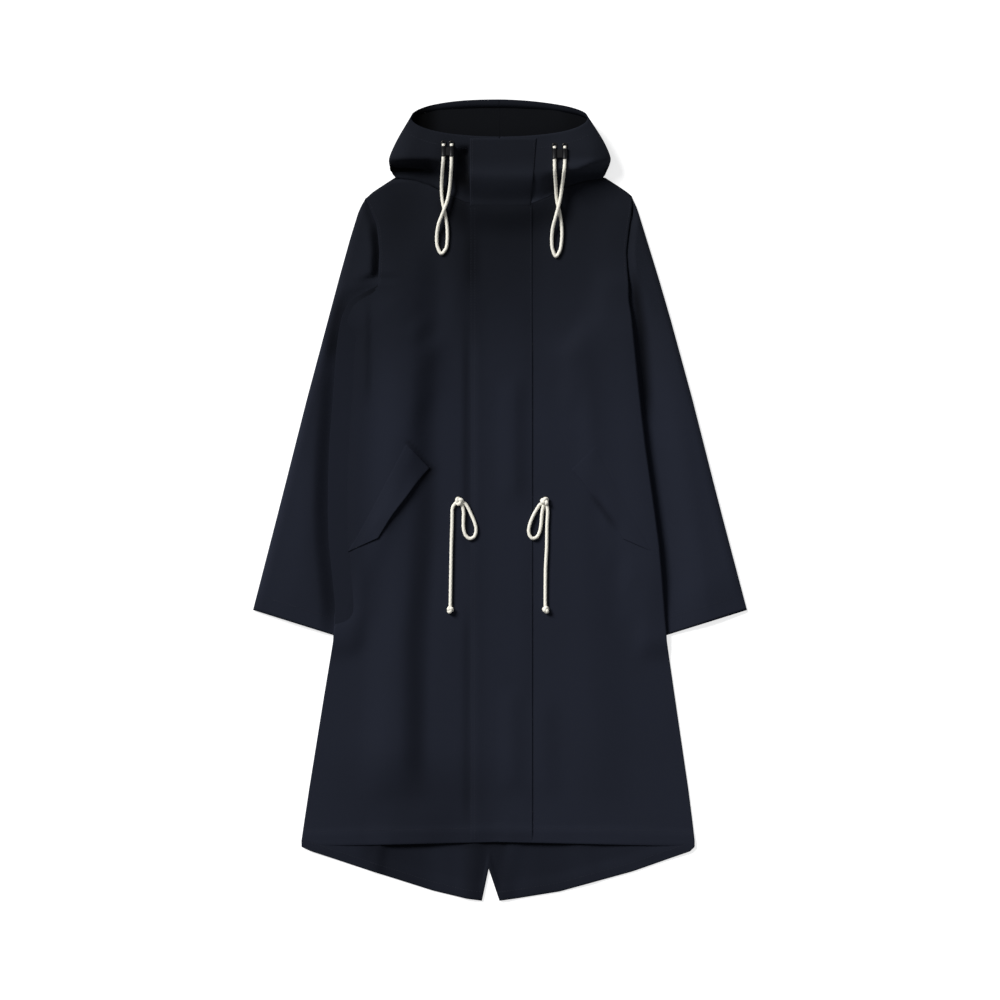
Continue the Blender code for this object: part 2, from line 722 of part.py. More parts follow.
def make_knot(name, side, place, size, surface, material):
    """A small lumpy ball, a little flattened."""
    sign = SIDES[side]
    x, y = sign * place[0] * MM, place[1] * MM
    wide, deep, high = size
    mesh = bpy.data.meshes.new(name)
    built = bmesh.new()
    bmesh.ops.create_uvsphere(built, u_segments=12, v_segments=8, radius=1)
    for vertex in built.verts:
        turn = math.atan2(vertex.co.y, vertex.co.x)
        swell = 1 + 0.07 * math.sin(3 * turn) * (1 - vertex.co.z ** 2)
        vertex.co = Vector((vertex.co.x * wide * swell, vertex.co.y * deep * swell,
                            vertex.co.z * high)) * MM / 2
    built.to_mesh(mesh)
    built.free()
    made = add_object(name, mesh, material)
    ground = height_on(surface, x, y, wide / 2 * MM)
    made.location = (x, y, ground + GAP + high / 2 * MM)
    return made


def make_waist_cord(side, surface, material):
    make_knot("knot_waist_" + side, side, WAIST_KNOT[side], KNOT_SIZE, surface, material)
    make_knot("knot_end_" + side, side, END_KNOT[side], END_KNOT_SIZE, surface, material)
    loop = laid_route(side, WAIST_LOOP[side], surface, spacing=9.0)
    ease(loop, 1.0)
    add_cord("cord_waist_loop_" + side, loop, material)
    tail = laid_route(side, WAIST_TAIL[side], surface, spacing=13.0)
    ease(tail, 1.0)
    add_cord("cord_waist_tail_" + side, tail, material)


# --- the coat ------------------------------------------------------------------------------------

for existing in list(bpy.data.objects):
    bpy.data.objects.remove(existing)

coat = bpy.data.collections.new("parka")
helpers = bpy.data.collections.new("cutters")
bpy.context.scene.collection.children.link(coat)
bpy.context.scene.collection.children.link(helpers)

shell = finish("navy cloth", NAVY, 0.85)
under = finish("navy cloth underneath", NAVY_UNDER, 0.85)
inside = finish("navy cloth of the hood", NAVY_INSIDE, 0.9)
trim = finish("navy cloth, doubled", NAVY, 0.8)
cotton = finish("cream cotton cord", CREAM, 0.9)
plastic = finish("black moulded plastic", BLACK, 0.4)

for side in SIDES:
    make_sleeve(side, under)
make_back(under)
fronts = [make_front(side, shell) for side in SIDES]
make_crown(inside)
hoods = [make_hood(side, shell) for side in SIDES]

placket = make_placket(surface_of(fronts), trim)
throat = make_throat(surface_of([*fronts, *hoods]), trim)
flaps = [make_pocket_flap(side, surface_of(fronts), trim) for side in SIDES]

outside = surface_of([*fronts, *hoods, placket, throat, *flaps])
for side, sign in SIDES.items():
    barrel_axis = make_toggle(side, outside, plastic)
    make_hood_cord(side, outside, barrel_axis, cotton)
    for place, strand in (("outer", 0), ("inner", -1)):
        strand_x = HOOD_LOOP[side][strand][0]
        eyelet_y = TOGGLE_PLACE[side][1] + EYELET_LIFT
        make_eyelet(f"eyelet_hood_{side}_{place}", sign * strand_x, eyelet_y, outside, plastic)
    eyelet_x, eyelet_y = WAIST_EYELET[side]
    make_eyelet("eyelet_waist_" + side, sign * eyelet_x, eyelet_y, outside, plastic)
    make_waist_cord(side, outside, cotton)
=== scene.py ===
# %% [markdown]
# # A parka, laid flat
#
# The object is a long hooded coat of dark navy cotton, lying face up on a pale table. Its solids were
# made first, as plain panels at their real size, and they are loaded here as a fixed frame. This lesson
# dresses them: every panel gets a thin shell of cloth with its folds and hems, every cord its braid, and
# every row of sewing its stitches.
#
# Sizes are in millimetres in the tables and in metres in the meshes. +Y points from the hem to the hood,
# and the sides are the wearer's: the right side lies at -X.

# %% Load the frame
import math
from collections import namedtuple

import bmesh
import bpy
import numpy as np
from mathutils import Matrix, Vector
from mathutils.bvhtree import BVHTree


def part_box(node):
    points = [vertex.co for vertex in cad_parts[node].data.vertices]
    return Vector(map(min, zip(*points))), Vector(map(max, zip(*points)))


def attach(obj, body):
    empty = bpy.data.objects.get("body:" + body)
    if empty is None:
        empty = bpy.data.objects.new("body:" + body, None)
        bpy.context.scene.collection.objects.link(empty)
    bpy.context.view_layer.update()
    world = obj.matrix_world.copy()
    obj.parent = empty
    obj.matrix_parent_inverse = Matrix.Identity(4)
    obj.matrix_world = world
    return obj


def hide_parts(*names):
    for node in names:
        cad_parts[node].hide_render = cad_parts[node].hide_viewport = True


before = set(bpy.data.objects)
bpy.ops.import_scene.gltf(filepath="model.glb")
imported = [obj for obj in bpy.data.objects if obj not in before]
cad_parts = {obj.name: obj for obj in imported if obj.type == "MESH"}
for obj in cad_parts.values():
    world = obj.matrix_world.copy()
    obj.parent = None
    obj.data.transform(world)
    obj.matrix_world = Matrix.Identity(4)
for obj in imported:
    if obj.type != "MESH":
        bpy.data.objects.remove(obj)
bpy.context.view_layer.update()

MM = 0.001
SIDES = {"right": -1, "left": 1}

# %% [markdown]
# ## The camera
#
# The coat was photographed from straight above. A short lens would show the hood larger than the hem,
# so the camera is far away and has a long lens. The frame is square and spans 1.5 m of the table.

# %% Look straight down
LENS = 300
SENSOR = 36
SPAN = 1.5                # metres of the table across the picture


def put_in_scene(name, data):
    """A new object for some data, at the origin."""
    made = bpy.data.objects.new(name, data)
    bpy.context.scene.collection.objects.link(made)
    return made


camera_data = bpy.data.cameras.new("camera")
camera_data.lens = LENS
camera_data.sensor_width = SENSOR
camera = put_in_scene("camera", camera_data)
camera.location = (0, 0, SPAN * LENS / SENSOR)
bpy.context.scene.camera = camera
print("camera height", round(camera.location.z, 3))

# %% [markdown]
# ## Small helpers
#
# An S-curve blends one height into another without a kink. A table of places is read straight between
# its rows, for one number or for a whole array of them.

# %% Curves and tables


def ease_in(value, start, end):
    """0 before start, 1 after end, and an S-curve between them."""
    share = np.clip((np.asarray(value, float) - start) / (end - start), 0, 1)
    return share * share * (3 - 2 * share)


def read(pairs, at):
    """The values that a table of (key, value) pairs gives at some keys."""
    rows = sorted(map(tuple, pairs))
    return np.interp(at, [row[0] for row in rows], [row[1] for row in rows])


def tucked(inside, depth=0.7):
    """How far an edge that is sewn down flush dips into the cloth below it, in millimetres."""
    return depth * (1 - ease_in(inside, 0, 3))


def rounded(inside, radius):
    """0 at an edge and 1 from a radius inwards, along a quarter of a circle."""
    return np.sqrt(np.clip(1 - (1 - np.clip(inside / radius, 0, 1)) ** 2, 0, 1))


def curve_through(points, spacing):
    """Points a given distance apart on a smooth curve through a list of points."""
    points = np.asarray(points, float)
    ends = np.vstack([2 * points[0] - points[1], points, 2 * points[-1] - points[-2]])
    fine = []
    for a, b, c, d in zip(ends, ends[1:], ends[2:], ends[3:]):
        for t in np.arange(16) / 16:
            fine.append(0.5 * (2 * b + (c - a) * t + (2 * a - 5 * b + 4 * c - d) * t ** 2
                               + (3 * b - a - 3 * c + d) * t ** 3))
    fine = np.array(fine + [points[-1]])
    run = np.concatenate([[0], np.cumsum(np.linalg.norm(np.diff(fine, axis=0), axis=1))])
    wanted = np.linspace(0, run[-1], max(3, round(run[-1] / spacing) + 1))
    return np.stack([np.interp(wanted, run, fine[:, axis]) for axis in range(fine.shape[1])], axis=1)


# %% [markdown]
# ## Reading the frame
#
# The outline of each shell comes from its solid. A solid cut by a level line gives how far it reaches
# there, and a ray from above gives how high it lies. The solids have few faces, so their heights are
# gathered in a map with a point every few millimetres and blurred a little, which takes the facets out.

# %% Outlines and heights of the solids
MAP_STEP = 4
map_x = np.arange(-380, 381, MAP_STEP)
map_y = np.arange(-612, 613, MAP_STEP)


def solid_edges(node):
    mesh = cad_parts[node].data
    points = np.array([vertex.co for vertex in mesh.vertices]) / MM
    pairs = np.array([edge.vertices for edge in mesh.edges])
    return points[pairs[:, 0]], points[pairs[:, 1]]


def cut(node, axis, at):
    """The least and greatest place along the other axis where a node crosses a line."""
    first, second = solid_edges(node)
    crossing = (first[:, axis] - at) * (second[:, axis] - at) <= 0
    crossing &= np.abs(first[:, axis] - second[:, axis]) > 1e-6
    a, b = first[crossing], second[crossing]
    share = (at - a[:, axis]) / (b[:, axis] - a[:, axis])
    other = a[:, 1 - axis] + share * (b[:, 1 - axis] - a[:, 1 - axis])
    return other.min(), other.max()


def blurred(values, radius):
    """A map smoothed over a radius in millimetres. Places with no cloth don't count."""
    known = np.isfinite(values).astype(float)
    filled = np.where(known > 0, values, 0)
    reach = int(3 * radius / MAP_STEP) + 1
    weights = np.exp(-0.5 * (np.arange(-reach, reach + 1) * MAP_STEP / radius) ** 2)
    for axis in (0, 1):
        filled = np.apply_along_axis(np.convolve, axis, filled, weights, "same")
        known = np.apply_along_axis(np.convolve, axis, known, weights, "same")
    return filled / np.maximum(known, 1e-9)


def height_map(nodes, radius):
    """How high some nodes lie, as a function of arrays of x and y. All in millimetres."""
    trees = [BVHTree.FromPolygons([v.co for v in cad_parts[node].data.vertices],
                                  [tuple(p.vertices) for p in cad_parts[node].data.polygons])
             for node in nodes]
    down = Vector((0, 0, -1))
    values = np.full((len(map_x), len(map_y)), np.nan)
    for i, x in enumerate(map_x):
        for j, y in enumerate(map_y):
            for tree in trees:
                hit = tree.ray_cast(Vector((x * MM, y * MM, 0.2)), down)[0]
                if hit is not None:
                    values[i, j] = np.nanmax([values[i, j], hit.z / MM])
    smooth_map = blurred(values, radius)

    def at(x, y):
        u = np.clip((np.asarray(x, float) - map_x[0]) / MAP_STEP, 0, len(map_x) - 1.001)
        v = np.clip((np.asarray(y, float) - map_y[0]) / MAP_STEP, 0, len(map_y) - 1.001)
        i, j = u.astype(int), v.astype(int)
        u, v = u - i, v - j
        low = smooth_map[i, j] * (1 - u) + smooth_map[i + 1, j] * u
        high = smooth_map[i, j + 1] * (1 - u) + smooth_map[i + 1, j + 1] * u
        return low * (1 - v) + high * v

    return at


SHOULDER_REACH, SHOULDER = 203, 454       # the point where the sleeve, the neckline and the body meet
ROLLED_OUT = 1.0          # the rolled cloth stands out past its solid a little
levels = np.arange(-518, SHOULDER + 1, 6.0)
reaches = {side: np.array([max(map(abs, cut("front_" + side, 1, y))) for y in levels])
           for side in SIDES}


def body_reach(side, y):
    """How far the body's edge lies from the middle."""
    return np.interp(y, levels, reaches[side]) + ROLLED_OUT


neck_x = np.arange(2, SHOULDER_REACH, 4.0)
front_neck = {side: np.array([cut("front_" + side, 0, sign * x)[1] for x in neck_x])
              for side, sign in SIDES.items()}
fronts_lie = height_map(["front_right", "front_left"], 7)
back_lies = height_map(["back"], 7)
print("body reaches", {side: round(float(body_reach(side, 0)), 1) for side in SIDES})

# %% [markdown]
# ## Finishes: the cloth
#
# The coat is a dense navy cotton twill that reflects one or two percent of the light, so nearly all of
# its form is told by soft shade. The twill could be painted on flat, but then it would not catch a low
# light. Here two fine waves run across the cloth's own map: a steep one for the diagonal twill line and
# one for the threads, and both only bump the surface. A broad and a fine noise make the dye a little
# uneven. Painted shade darkens the colour towards the shoulders, and each sheet's "shade" values are
# painted shade and light multiplied into it. The same recipe with darker colours, painted as the shade
# inside the hood, serves the inside of the hood and the underside.

# %% Cloth recipe


def linear(color):
    """Display colours from 0 to 255 as the linear values that a shader takes."""
    values = np.asarray(color, float) / 255
    return tuple(np.where(values < 0.04045, values / 12.92, ((values + 0.055) / 1.055) ** 2.4)) + (1.0,)


def node_of(tree, kind, inputs=None, **settings):
    made = tree.nodes.new(kind)
    for name, value in settings.items():
        setattr(made, name, value)
    for name, value in (inputs or {}).items():
        made.inputs[name].default_value = value
    return made


def wire(tree, *pairs):
    """Joins outputs to inputs, each pair as (node, output, node, input)."""
    for source, output, target, entry in pairs:
        tree.links.new(source.outputs[output], target.inputs[entry])


def new_finish(name, roughness, specular):
    material = bpy.data.materials.new(name)
    material.use_nodes = True
    tree = material.node_tree
    shader = tree.nodes["Principled BSDF"]
    shader.inputs["Roughness"].default_value = roughness
    shader.inputs["Specular IOR Level"].default_value = specular
    return material, tree, shader


TWILL_LINE = 0.0011       # metres from one diagonal line to the next
THREAD = 0.00045
SHADE_FULL_ABOVE, SHADE_GONE_BELOW = 0.42, 0.11      # painted shade: fully dark above the first height, none below the second, in metres


def cloth_finish(name, deep, pale, sheen=0.06, relief=0.22):
    material, tree, shader = new_finish(name, 0.88, 0.06)
    shader.inputs["Sheen Weight"].default_value = sheen
    shader.inputs["Sheen Roughness"].default_value = 0.45
    shader.inputs["Sheen Tint"].default_value = linear((96, 104, 138))
    place = node_of(tree, "ShaderNodeTexCoord")
    axes = node_of(tree, "ShaderNodeSeparateXYZ")
    # painted shade: the cloth's colour darkens with height towards the shoulders
    shade_gradient = node_of(tree, "ShaderNodeMapRange", {"From Min": SHADE_FULL_ABOVE, "From Max": SHADE_GONE_BELOW,
                                                 "To Min": 0.0, "To Max": 0.75})
    broad = node_of(tree, "ShaderNodeTexNoise", {"Scale": 9.0, "Detail": 3.0, "Roughness": 0.55})
    fine = node_of(tree, "ShaderNodeTexNoise", {"Scale": 420.0, "Detail": 2.0, "Roughness": 0.6})
    patches_and_shade = node_of(tree, "ShaderNodeMath", {1: 0.3}, operation="MULTIPLY_ADD")
    grain_and_shade = node_of(tree, "ShaderNodeMath", {1: 0.15}, operation="MULTIPLY_ADD")
    dye_and_shade = node_of(tree, "ShaderNodeMix", data_type="RGBA")
    dye_and_shade.inputs["A"].default_value = linear(deep)
    dye_and_shade.inputs["B"].default_value = linear(pale)
    # painted shade and light: each sheet's "shade" values multiply the base colour
    shade_attribute = node_of(tree, "ShaderNodeAttribute", attribute_name="shade")
    painted_shade_mix = node_of(tree, "ShaderNodeMix", {"Factor": 1.0}, data_type="RGBA", blend_type="MULTIPLY")
    wire(tree,
         (place, "Object", axes, "Vector"), (axes, "Y", shade_gradient, "Value"),
         (place, "Object", broad, "Vector"), (place, "Object", fine, "Vector"),
         (broad, "Fac", patches_and_shade, 0), (shade_gradient, "Result", patches_and_shade, 2),
         (fine, "Fac", grain_and_shade, 0), (patches_and_shade, 0, grain_and_shade, 2), (grain_and_shade, 0, dye_and_shade, "Factor"),
         (dye_and_shade, "Result", painted_shade_mix, "A"), (shade_attribute, "Color", painted_shade_mix, "B"),
         (painted_shade_mix, "Result", shader, "Base Color"))
    diagonal = node_of(tree, "ShaderNodeTexWave", {"Scale": math.tau / 20 / TWILL_LINE,
                                                   "Distortion": 0.6, "Detail": 1.0},
                       bands_direction="DIAGONAL")
    threads = node_of(tree, "ShaderNodeTexWave", {"Scale": math.tau / 20 / THREAD, "Distortion": 0.3},
                      bands_direction="X")
    weave = node_of(tree, "ShaderNodeMath", {0: 0.0}, operation="ADD")
    bump = node_of(tree, "ShaderNodeBump", {"Strength": relief, "Distance": 0.0002})
    wire(tree,
         (place, "UV", diagonal, "Vector"), (place, "UV", threads, "Vector"),
         (diagonal, "Fac", weave, 0), (threads, "Fac", weave, 1),
         (weave, 0, bump, "Height"), (bump, "Normal", shader, "Normal"))
    return material


shell_cloth = cloth_finish("navy twill", (21, 23, 28), (30, 33, 43))
# the inside colours are darker as painted shade for the hollow of the hood
shaded_inner_cloth = cloth_finish("navy twill, wrong side", (15, 16, 19), (21, 23, 27), sheen=0.03)
print("cloth finishes", shell_cloth.name, "/", shaded_inner_cloth.name)

# %% [markdown]
# ## Finishes: cord, thread, plastic and brass
#
# The drawcords are braided cream cotton. The braid is real form on the mesh, so its finish only adds the
# slight yellowing between the strands and a fine fibre bump. The thread is a shade lighter than the
# cloth. The toggles are matt black plastic, and the eyelets are blackened brass.

# %% Cord, thread, plastic and metal finishes


def speckled_finish(name, deep, pale, scale, roughness, specular, metallic=0.0, relief=0.2):
    material, tree, shader = new_finish(name, roughness, specular)
    shader.inputs["Metallic"].default_value = metallic
    place = node_of(tree, "ShaderNodeTexCoord")
    grain = node_of(tree, "ShaderNodeTexNoise", {"Scale": scale, "Detail": 3.0, "Roughness": 0.6})
    tint = node_of(tree, "ShaderNodeMix", data_type="RGBA")
    tint.inputs["A"].default_value = linear(deep)
    tint.inputs["B"].default_value = linear(pale)
    bump = node_of(tree, "ShaderNodeBump", {"Strength": relief, "Distance": 0.0001})
    wire(tree,
         (place, "Object", grain, "Vector"), (grain, "Fac", tint, "Factor"),
         (tint, "Result", shader, "Base Color"), (grain, "Fac", bump, "Height"),
         (bump, "Normal", shader, "Normal"))
    return material


cord_finish = speckled_finish("cream cotton braid", (222, 217, 200), (246, 243, 234), 900, 0.9, 0.2)
thread_finish = speckled_finish("navy thread", (24, 26, 34), (36, 39, 50), 1500, 0.7, 0.2)
plastic_finish = speckled_finish("black matt plastic", (11, 11, 13), (17, 17, 20), 700, 0.42, 0.35)
brass_finish = speckled_finish("blackened brass", (22, 21, 22), (40, 38, 38), 500, 0.38, 0.5, 0.6)
print("fittings' finishes", cord_finish.name, "/", plastic_finish.name, "/", brass_finish.name)

# %% [markdown]
# ## Sheets and hems
#
# Each panel is a grid of points that follows its outline, with a Solidify modifier for the thickness of
# the cloth. A plain edge would look like cut card. So where the real edge is hemmed, a few more rows
# turn round and run back under the cloth, which gives the edge its roundness and its second layer.

# %% Make a sheet from a grid
CLOTH = 1.2
DOUBLE = 1.6
# how far a hem runs past the edge, and how deep it lies under the face
HEM_TURN = ((0.7, 0.4), (1.1, 1.2), (0.8, 2.1), (-0.6, 2.6), (-4.0, 2.7), (-9.0, 2.6))


def unit(vectors):
    return vectors / np.maximum(np.linalg.norm(vectors, axis=-1, keepdims=True), 1e-9)


def grid_normals(grid):
    across = np.gradient(grid, axis=1)
    along = np.gradient(grid, axis=0)
    return unit(np.cross(across, along))


def with_hem(grid, steps=HEM_TURN):
    """Adds rows that turn round after the grid's last row and run back beneath it."""
    inward = -grid_normals(grid)[-1]
    outward = unit(grid[-1] - grid[-2])
    turned = [grid[-1] + outward * past + inward * deep for past, deep in steps]
    return np.concatenate([grid, np.array(turned)])


def grid_mesh(name, grid, closed=False):
    """A mesh from a grid in millimetres, with a UV map in metres along its rows and columns."""
    rows, columns = grid.shape[:2]
    mesh = bpy.data.meshes.new(name)
    wrap = columns if closed else columns - 1
    r, c = np.meshgrid(np.arange(rows - 1), np.arange(wrap), indexing="ij")
    following = (c + 1) % columns
    faces = np.stack([r * columns + c, r * columns + following,
                      (r + 1) * columns + following, (r + 1) * columns + c], axis=-1).reshape(-1, 4)
    mesh.from_pydata((grid.reshape(-1, 3) * MM).tolist(), [], faces.tolist())
    around = np.linalg.norm(np.diff(grid, axis=1), axis=2).cumsum(axis=1)
    around = np.concatenate([np.zeros((rows, 1)), around], axis=1)
    along = np.linalg.norm(np.diff(grid, axis=0), axis=2).mean(axis=1).cumsum()
    along = np.concatenate([[0], along])
    last = around[:, -1:] + (np.linalg.norm(grid[:, :1] - grid[:, -1:], axis=2) if closed else 0)
    around = np.concatenate([around, last], axis=1)
    layer = mesh.uv_layers.new(name="cloth")
    corner = np.stack([c, c + 1, c + 1, c], axis=-1).reshape(-1)
    line = np.stack([r, r, r + 1, r + 1], axis=-1).reshape(-1)
    uv = np.stack([around[line, corner], along[line]], axis=-1) * MM
    layer.data.foreach_set("uv", uv.astype(np.float32).reshape(-1))
    tone = mesh.attributes.new("shade", "FLOAT", "POINT")
    tone.data.foreach_set("value", np.ones(rows * columns, np.float32))
    mesh.shade_smooth()
    return mesh


def closed_up(mesh, joined=False):
    """Fills the open ends of a tube, or joins them to a ring, and turns its faces outwards."""
    built = bmesh.new()
    built.from_mesh(mesh)
    if joined:
        bmesh.ops.remove_doubles(built, verts=built.verts, dist=1e-6)
    else:
        bmesh.ops.holes_fill(built, edges=[edge for edge in built.edges if edge.is_boundary])
    bmesh.ops.recalc_face_normals(built, faces=built.faces)
    built.to_mesh(mesh)
    built.free()
    mesh.shade_smooth()
    return mesh


def tube_grid(line, swell, across, over):
    """Rings of points round a line. Each row of swell holds the radii of one ring."""
    turn = np.arange(swell.shape[1]) / swell.shape[1] * math.tau
    way = np.cos(turn)[:, None] * across[:, None] + np.sin(turn)[:, None] * over[:, None]
    return line[:, None] + swell[..., None] * way


def add_piece(name, mesh, finish):
    mesh.materials.clear()
    mesh.materials.append(finish)
    piece = put_in_scene(name, mesh)
    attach(piece, "root")
    return piece


def add_sheet(name, grid, thickness, finish, shade, closed=False):
    mesh = grid_mesh(name, grid, closed)
    tone = shade(grid[..., 0], grid[..., 1]) if callable(shade) else shade
    mesh.attributes["shade"].data.foreach_set("value", tone.astype(np.float32).reshape(-1))
    piece = add_piece(name, mesh, finish)
    wall = piece.modifiers.new("cloth", "SOLIDIFY")
    wall.thickness = thickness * MM
    wall.offset = -1
    print(name, "grid", grid.shape[:2])
    return piece


def surface_of(pieces):
    """The outer faces of finished pieces, for laying other things on them."""
    bpy.context.view_layer.update()
    graph = bpy.context.evaluated_depsgraph_get()
    points, faces = [], []
    for piece in pieces:
        mesh = piece.evaluated_get(graph).to_mesh()
        start = len(points)
        points += [vertex.co.copy() for vertex in mesh.vertices]
        faces += [[start + v for v in polygon.vertices] for polygon in mesh.polygons]
    return BVHTree.FromPolygons(points, faces)


def height_on(surface, x, y, reach):
    """The highest that a surface stands within reach of a place, all in millimetres."""
    highest = 0.0
    for step in range(9):
        turn = step * math.pi / 4
        away = reach if step < 8 else 0.0
        start = Vector(((x + away * math.cos(turn)) * MM, (y + away * math.sin(turn)) * MM, 0.2))
        hit = surface.ray_cast(start, Vector((0, 0, -1)))[0]
        if hit is not None:
            highest = max(highest, hit.z / MM)
    return highest


# %% [markdown]
# ## The cords
#
# Four round cords lie on the coat: a loop through each hood toggle, and a slip knot with a loop and a
# tail at each side of the waist. A cord could be a curve with a bevel, but its braid would then be only
# painted on. Here a ring of points follows the route, and its radius swells where a strand of the braid
# lies on top. The routes are those of the solids. They are laid first on the solids, and once more on
# the finished cloth further down.

# %% Where the cords run
CORD = 5.0
STRAND_LENGTH = 7.0       # along the cord for one strand to come round again
STRANDS = 8
CORD_SIDES = 32
CORD_STEP = 0.55

HOOD_LOOP = {
    "right": ((84.5, 515), (86, 495), (87.5, 470), (86.5, 450), (83, 432), (79.5, 412), (79, 390),
              (82, 374), (87, 369.5), (92, 374), (95, 390), (92.5, 412), (85, 432), (78.5, 450),
              (75, 470), (73, 495), (72.5, 515)),
    "left": ((81.6, 507), (82, 490), (83.5, 470), (85, 450), (89.5, 430), (92.5, 410), (92.5, 390),
             (89, 371), (84.5, 365.5), (80, 370), (77.5, 390), (79.5, 410), (85, 430), (90, 450),
             (93, 470), (95.5, 490), (97, 507)),
}
LOOP_CROSSING = {"right": 437, "left": 440}
TOGGLE_PLACE = {"right": (78.5, 521.5), "left": (89.3, 518)}
EYELET_LIFT = 12          # from the toggle's middle to the eyelets
STRAIGHT = 16             # the cord is level this far below the toggle's middle
END_DROP = 2.2            # its ends dip into the eyelets
CROSSING_FADE = (18, 44)  # where the upper strand starts to sink, and where it lies down again
WAIST_EYELET = {"right": (62, 2), "left": (68, 2)}
WAIST_KNOT = {"right": (61.5, -2.5), "left": (67.5, -2.5)}
WAIST_LOOP = {
    "right": ((54, -4), (48.5, -10.5), (43, -22), (38, -34), (35.8, -45), (38.5, -54.5), (45, -57.8),
              (51.5, -53), (54.6, -43), (55, -31), (54.6, -19), (56.5, -9.5)),
    "left": ((60.5, -6), (55, -14), (49, -25), (44.5, -37), (43, -47), (45.5, -55), (51, -57.8),
             (57, -53), (60.5, -43), (62, -31), (63, -19), (65, -10)),
}
WAIST_TAIL = {
    "right": ((70, -8.5), (71.5, -16), (72, -40), (73, -70), (73.5, -100), (74, -130), (74.5, -157)),
    "left": ((71, -11), (71.5, -18), (70.5, -40), (70, -70), (68.5, -100), (68, -130), (68, -157)),
}
END_KNOT = {"right": (75, -165), "left": (69, -165)}
toggle_axis = {side: (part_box("toggle_" + side)[0][2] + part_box("toggle_" + side)[1][2]) / 2 / MM
               for side in SIDES}


def ease_heights(route, fixed_above=math.inf):
    """Takes the kinks out of a route's heights and never lowers it onto what it lies on."""
    for _ in range(3):
        z = route[:, 2].copy()
        middle = (z[:-2] + z[2:]) / 2
        eased = np.maximum(z[1:-1], 0.5 * (z[1:-1] + middle))
        free = route[1:-1, 1] < fixed_above
        route[1:-1, 2][free] = eased[free]
    return route


def laid(side, plan, surface, spacing):
    """A cord's plan laid on a surface: points along its middle, in millimetres."""
    flat = curve_through(plan, spacing)
    z = [height_on(surface, SIDES[side] * x, y, CORD * 0.45) + CORD / 2 + 0.2 for x, y in flat]
    return np.column_stack([SIDES[side] * flat[:, 0], flat[:, 1], z])


def hood_route(side, surface):
    """Down from one eyelet through the toggle, round the loop, and up to the other eyelet."""
    x, y = TOGGLE_PLACE[side]
    start, end = HOOD_LOOP[side][0][0], HOOD_LOOP[side][-1][0]
    plan = [(start, y + EYELET_LIFT - 1), (start, y), *HOOD_LOOP[side], (end, y),
            (end, y + EYELET_LIFT - 1)]
    route = laid(side, plan, surface, 12)
    turn = route[:, 1].argmin()
    axis = toggle_axis[side]
    route[route[:, 1] > y - STRAIGHT, 2] = axis
    after = np.arange(len(route)) > turn
    away = np.abs(route[:, 1] - LOOP_CROSSING[side])
    route[after, 2] += ((CORD + 0.4) * (1 - ease_in(away, *CROSSING_FADE)))[after]
    route = ease_heights(route, y - STRAIGHT)
    for end_point in (0, -1):
        route[end_point, 2] = axis - END_DROP
    return curve_through(route, CORD_STEP)


def waist_route(side, surface):
    """Out of the eyelet, through the knot, round the loop, through the knot again and down."""
    plan = [WAIST_EYELET[side], WAIST_KNOT[side], *WAIST_LOOP[side], WAIST_KNOT[side],
            *WAIST_TAIL[side], END_KNOT[side]]
    route = laid(side, plan, surface, 7)
    return curve_through(ease_heights(route), CORD_STEP)


def braid_mesh(name, route):
    """A tube whose radius follows two sets of crossing strands."""
    ahead = unit(np.gradient(route, axis=0))
    side_way = np.empty_like(route)
    current = np.cross(ahead[0], [0, 0, 1])
    for index, direction in enumerate(ahead):
        current = current - direction * np.dot(current, direction)
        current /= np.linalg.norm(current)
        side_way[index] = current
    up_way = np.cross(ahead, side_way)
    turn = np.arange(CORD_SIDES) / CORD_SIDES * math.tau
    run = np.concatenate([[0], np.linalg.norm(np.diff(route, axis=0), axis=1).cumsum()])
    twist = run[:, None] / STRAND_LENGTH * math.tau
    right_hand = np.cos(STRANDS / 2 * turn + twist)
    left_hand = np.cos(STRANDS / 2 * turn - twist)
    swell = CORD / 2 * (1 + 0.05 * np.maximum(right_hand, left_hand) - 0.035)
    grid = tube_grid(route, swell, side_way, up_way)
    return closed_up(grid_mesh(name, grid, closed=True))


# %% Lay the cords on the solids
solids_below = surface_of([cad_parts[name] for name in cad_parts
                           if name.startswith(("front", "placket", "throat", "hood", "pocket"))])
cord_routes = {}
cords = {}
for side in SIDES:
    cord_routes["hood", side] = hood_route(side, solids_below)
    cord_routes["waist", side] = waist_route(side, solids_below)
for (kind, side), route in cord_routes.items():
    name = f"{kind}_drawcord_{side}"
    cords[kind, side] = add_piece(name, braid_mesh(name, route), cord_finish)
    length = np.linalg.norm(np.diff(route, axis=0), axis=1).sum()
    print(name, "length", round(length), "mm")

# %% [markdown]
# ## The folds of the body
#
# The fronts were pressed and laid straight, so their folds are long, soft and few: each rises slowly on
# one side and falls faster on the other. Cloth simulation would find folds of its own, but not these.
# So each fold is a row in a table: where its crest runs, how wide its two flanks are, how high it
# stands, and over what length it fades at its ends. A groove is a fold with a height below zero.

# %% The folds, from the wearer's right to the left
Fold = namedtuple("Fold", "route left right height fade")
FOLDS = (
    Fold(((330, -199), (130, -199)), 26, 4, 1.4, 60),
    # the long fold
    Fold(((420, -134), (300, -132), (60, -137), (-150, -142), (-460, -156)), 62, 42, 6.6, 90),
    Fold(((470, -64), (215, -62)), 30, 36, 3.4, 120),
    Fold(((310, -44), (-110, -44)), 14, 12, -1.4, 120),     # groove beside the placket
    Fold(((-150, -45), (-500, -45)), 15, 12, -0.8, 60),
    Fold(((200, 18), (-20, 18)), 28, 26, 2.2, 50),          # the placket bows here
    Fold(((-270, 18), (-450, 18)), 26, 26, 2.0, 40),
    Fold(((-270, 62), (-470, 68)), 40, 30, 1.8, 60),
    Fold(((330, 118), (-80, 128), (-500, 150)), 60, 60, 1.8, 110),
)
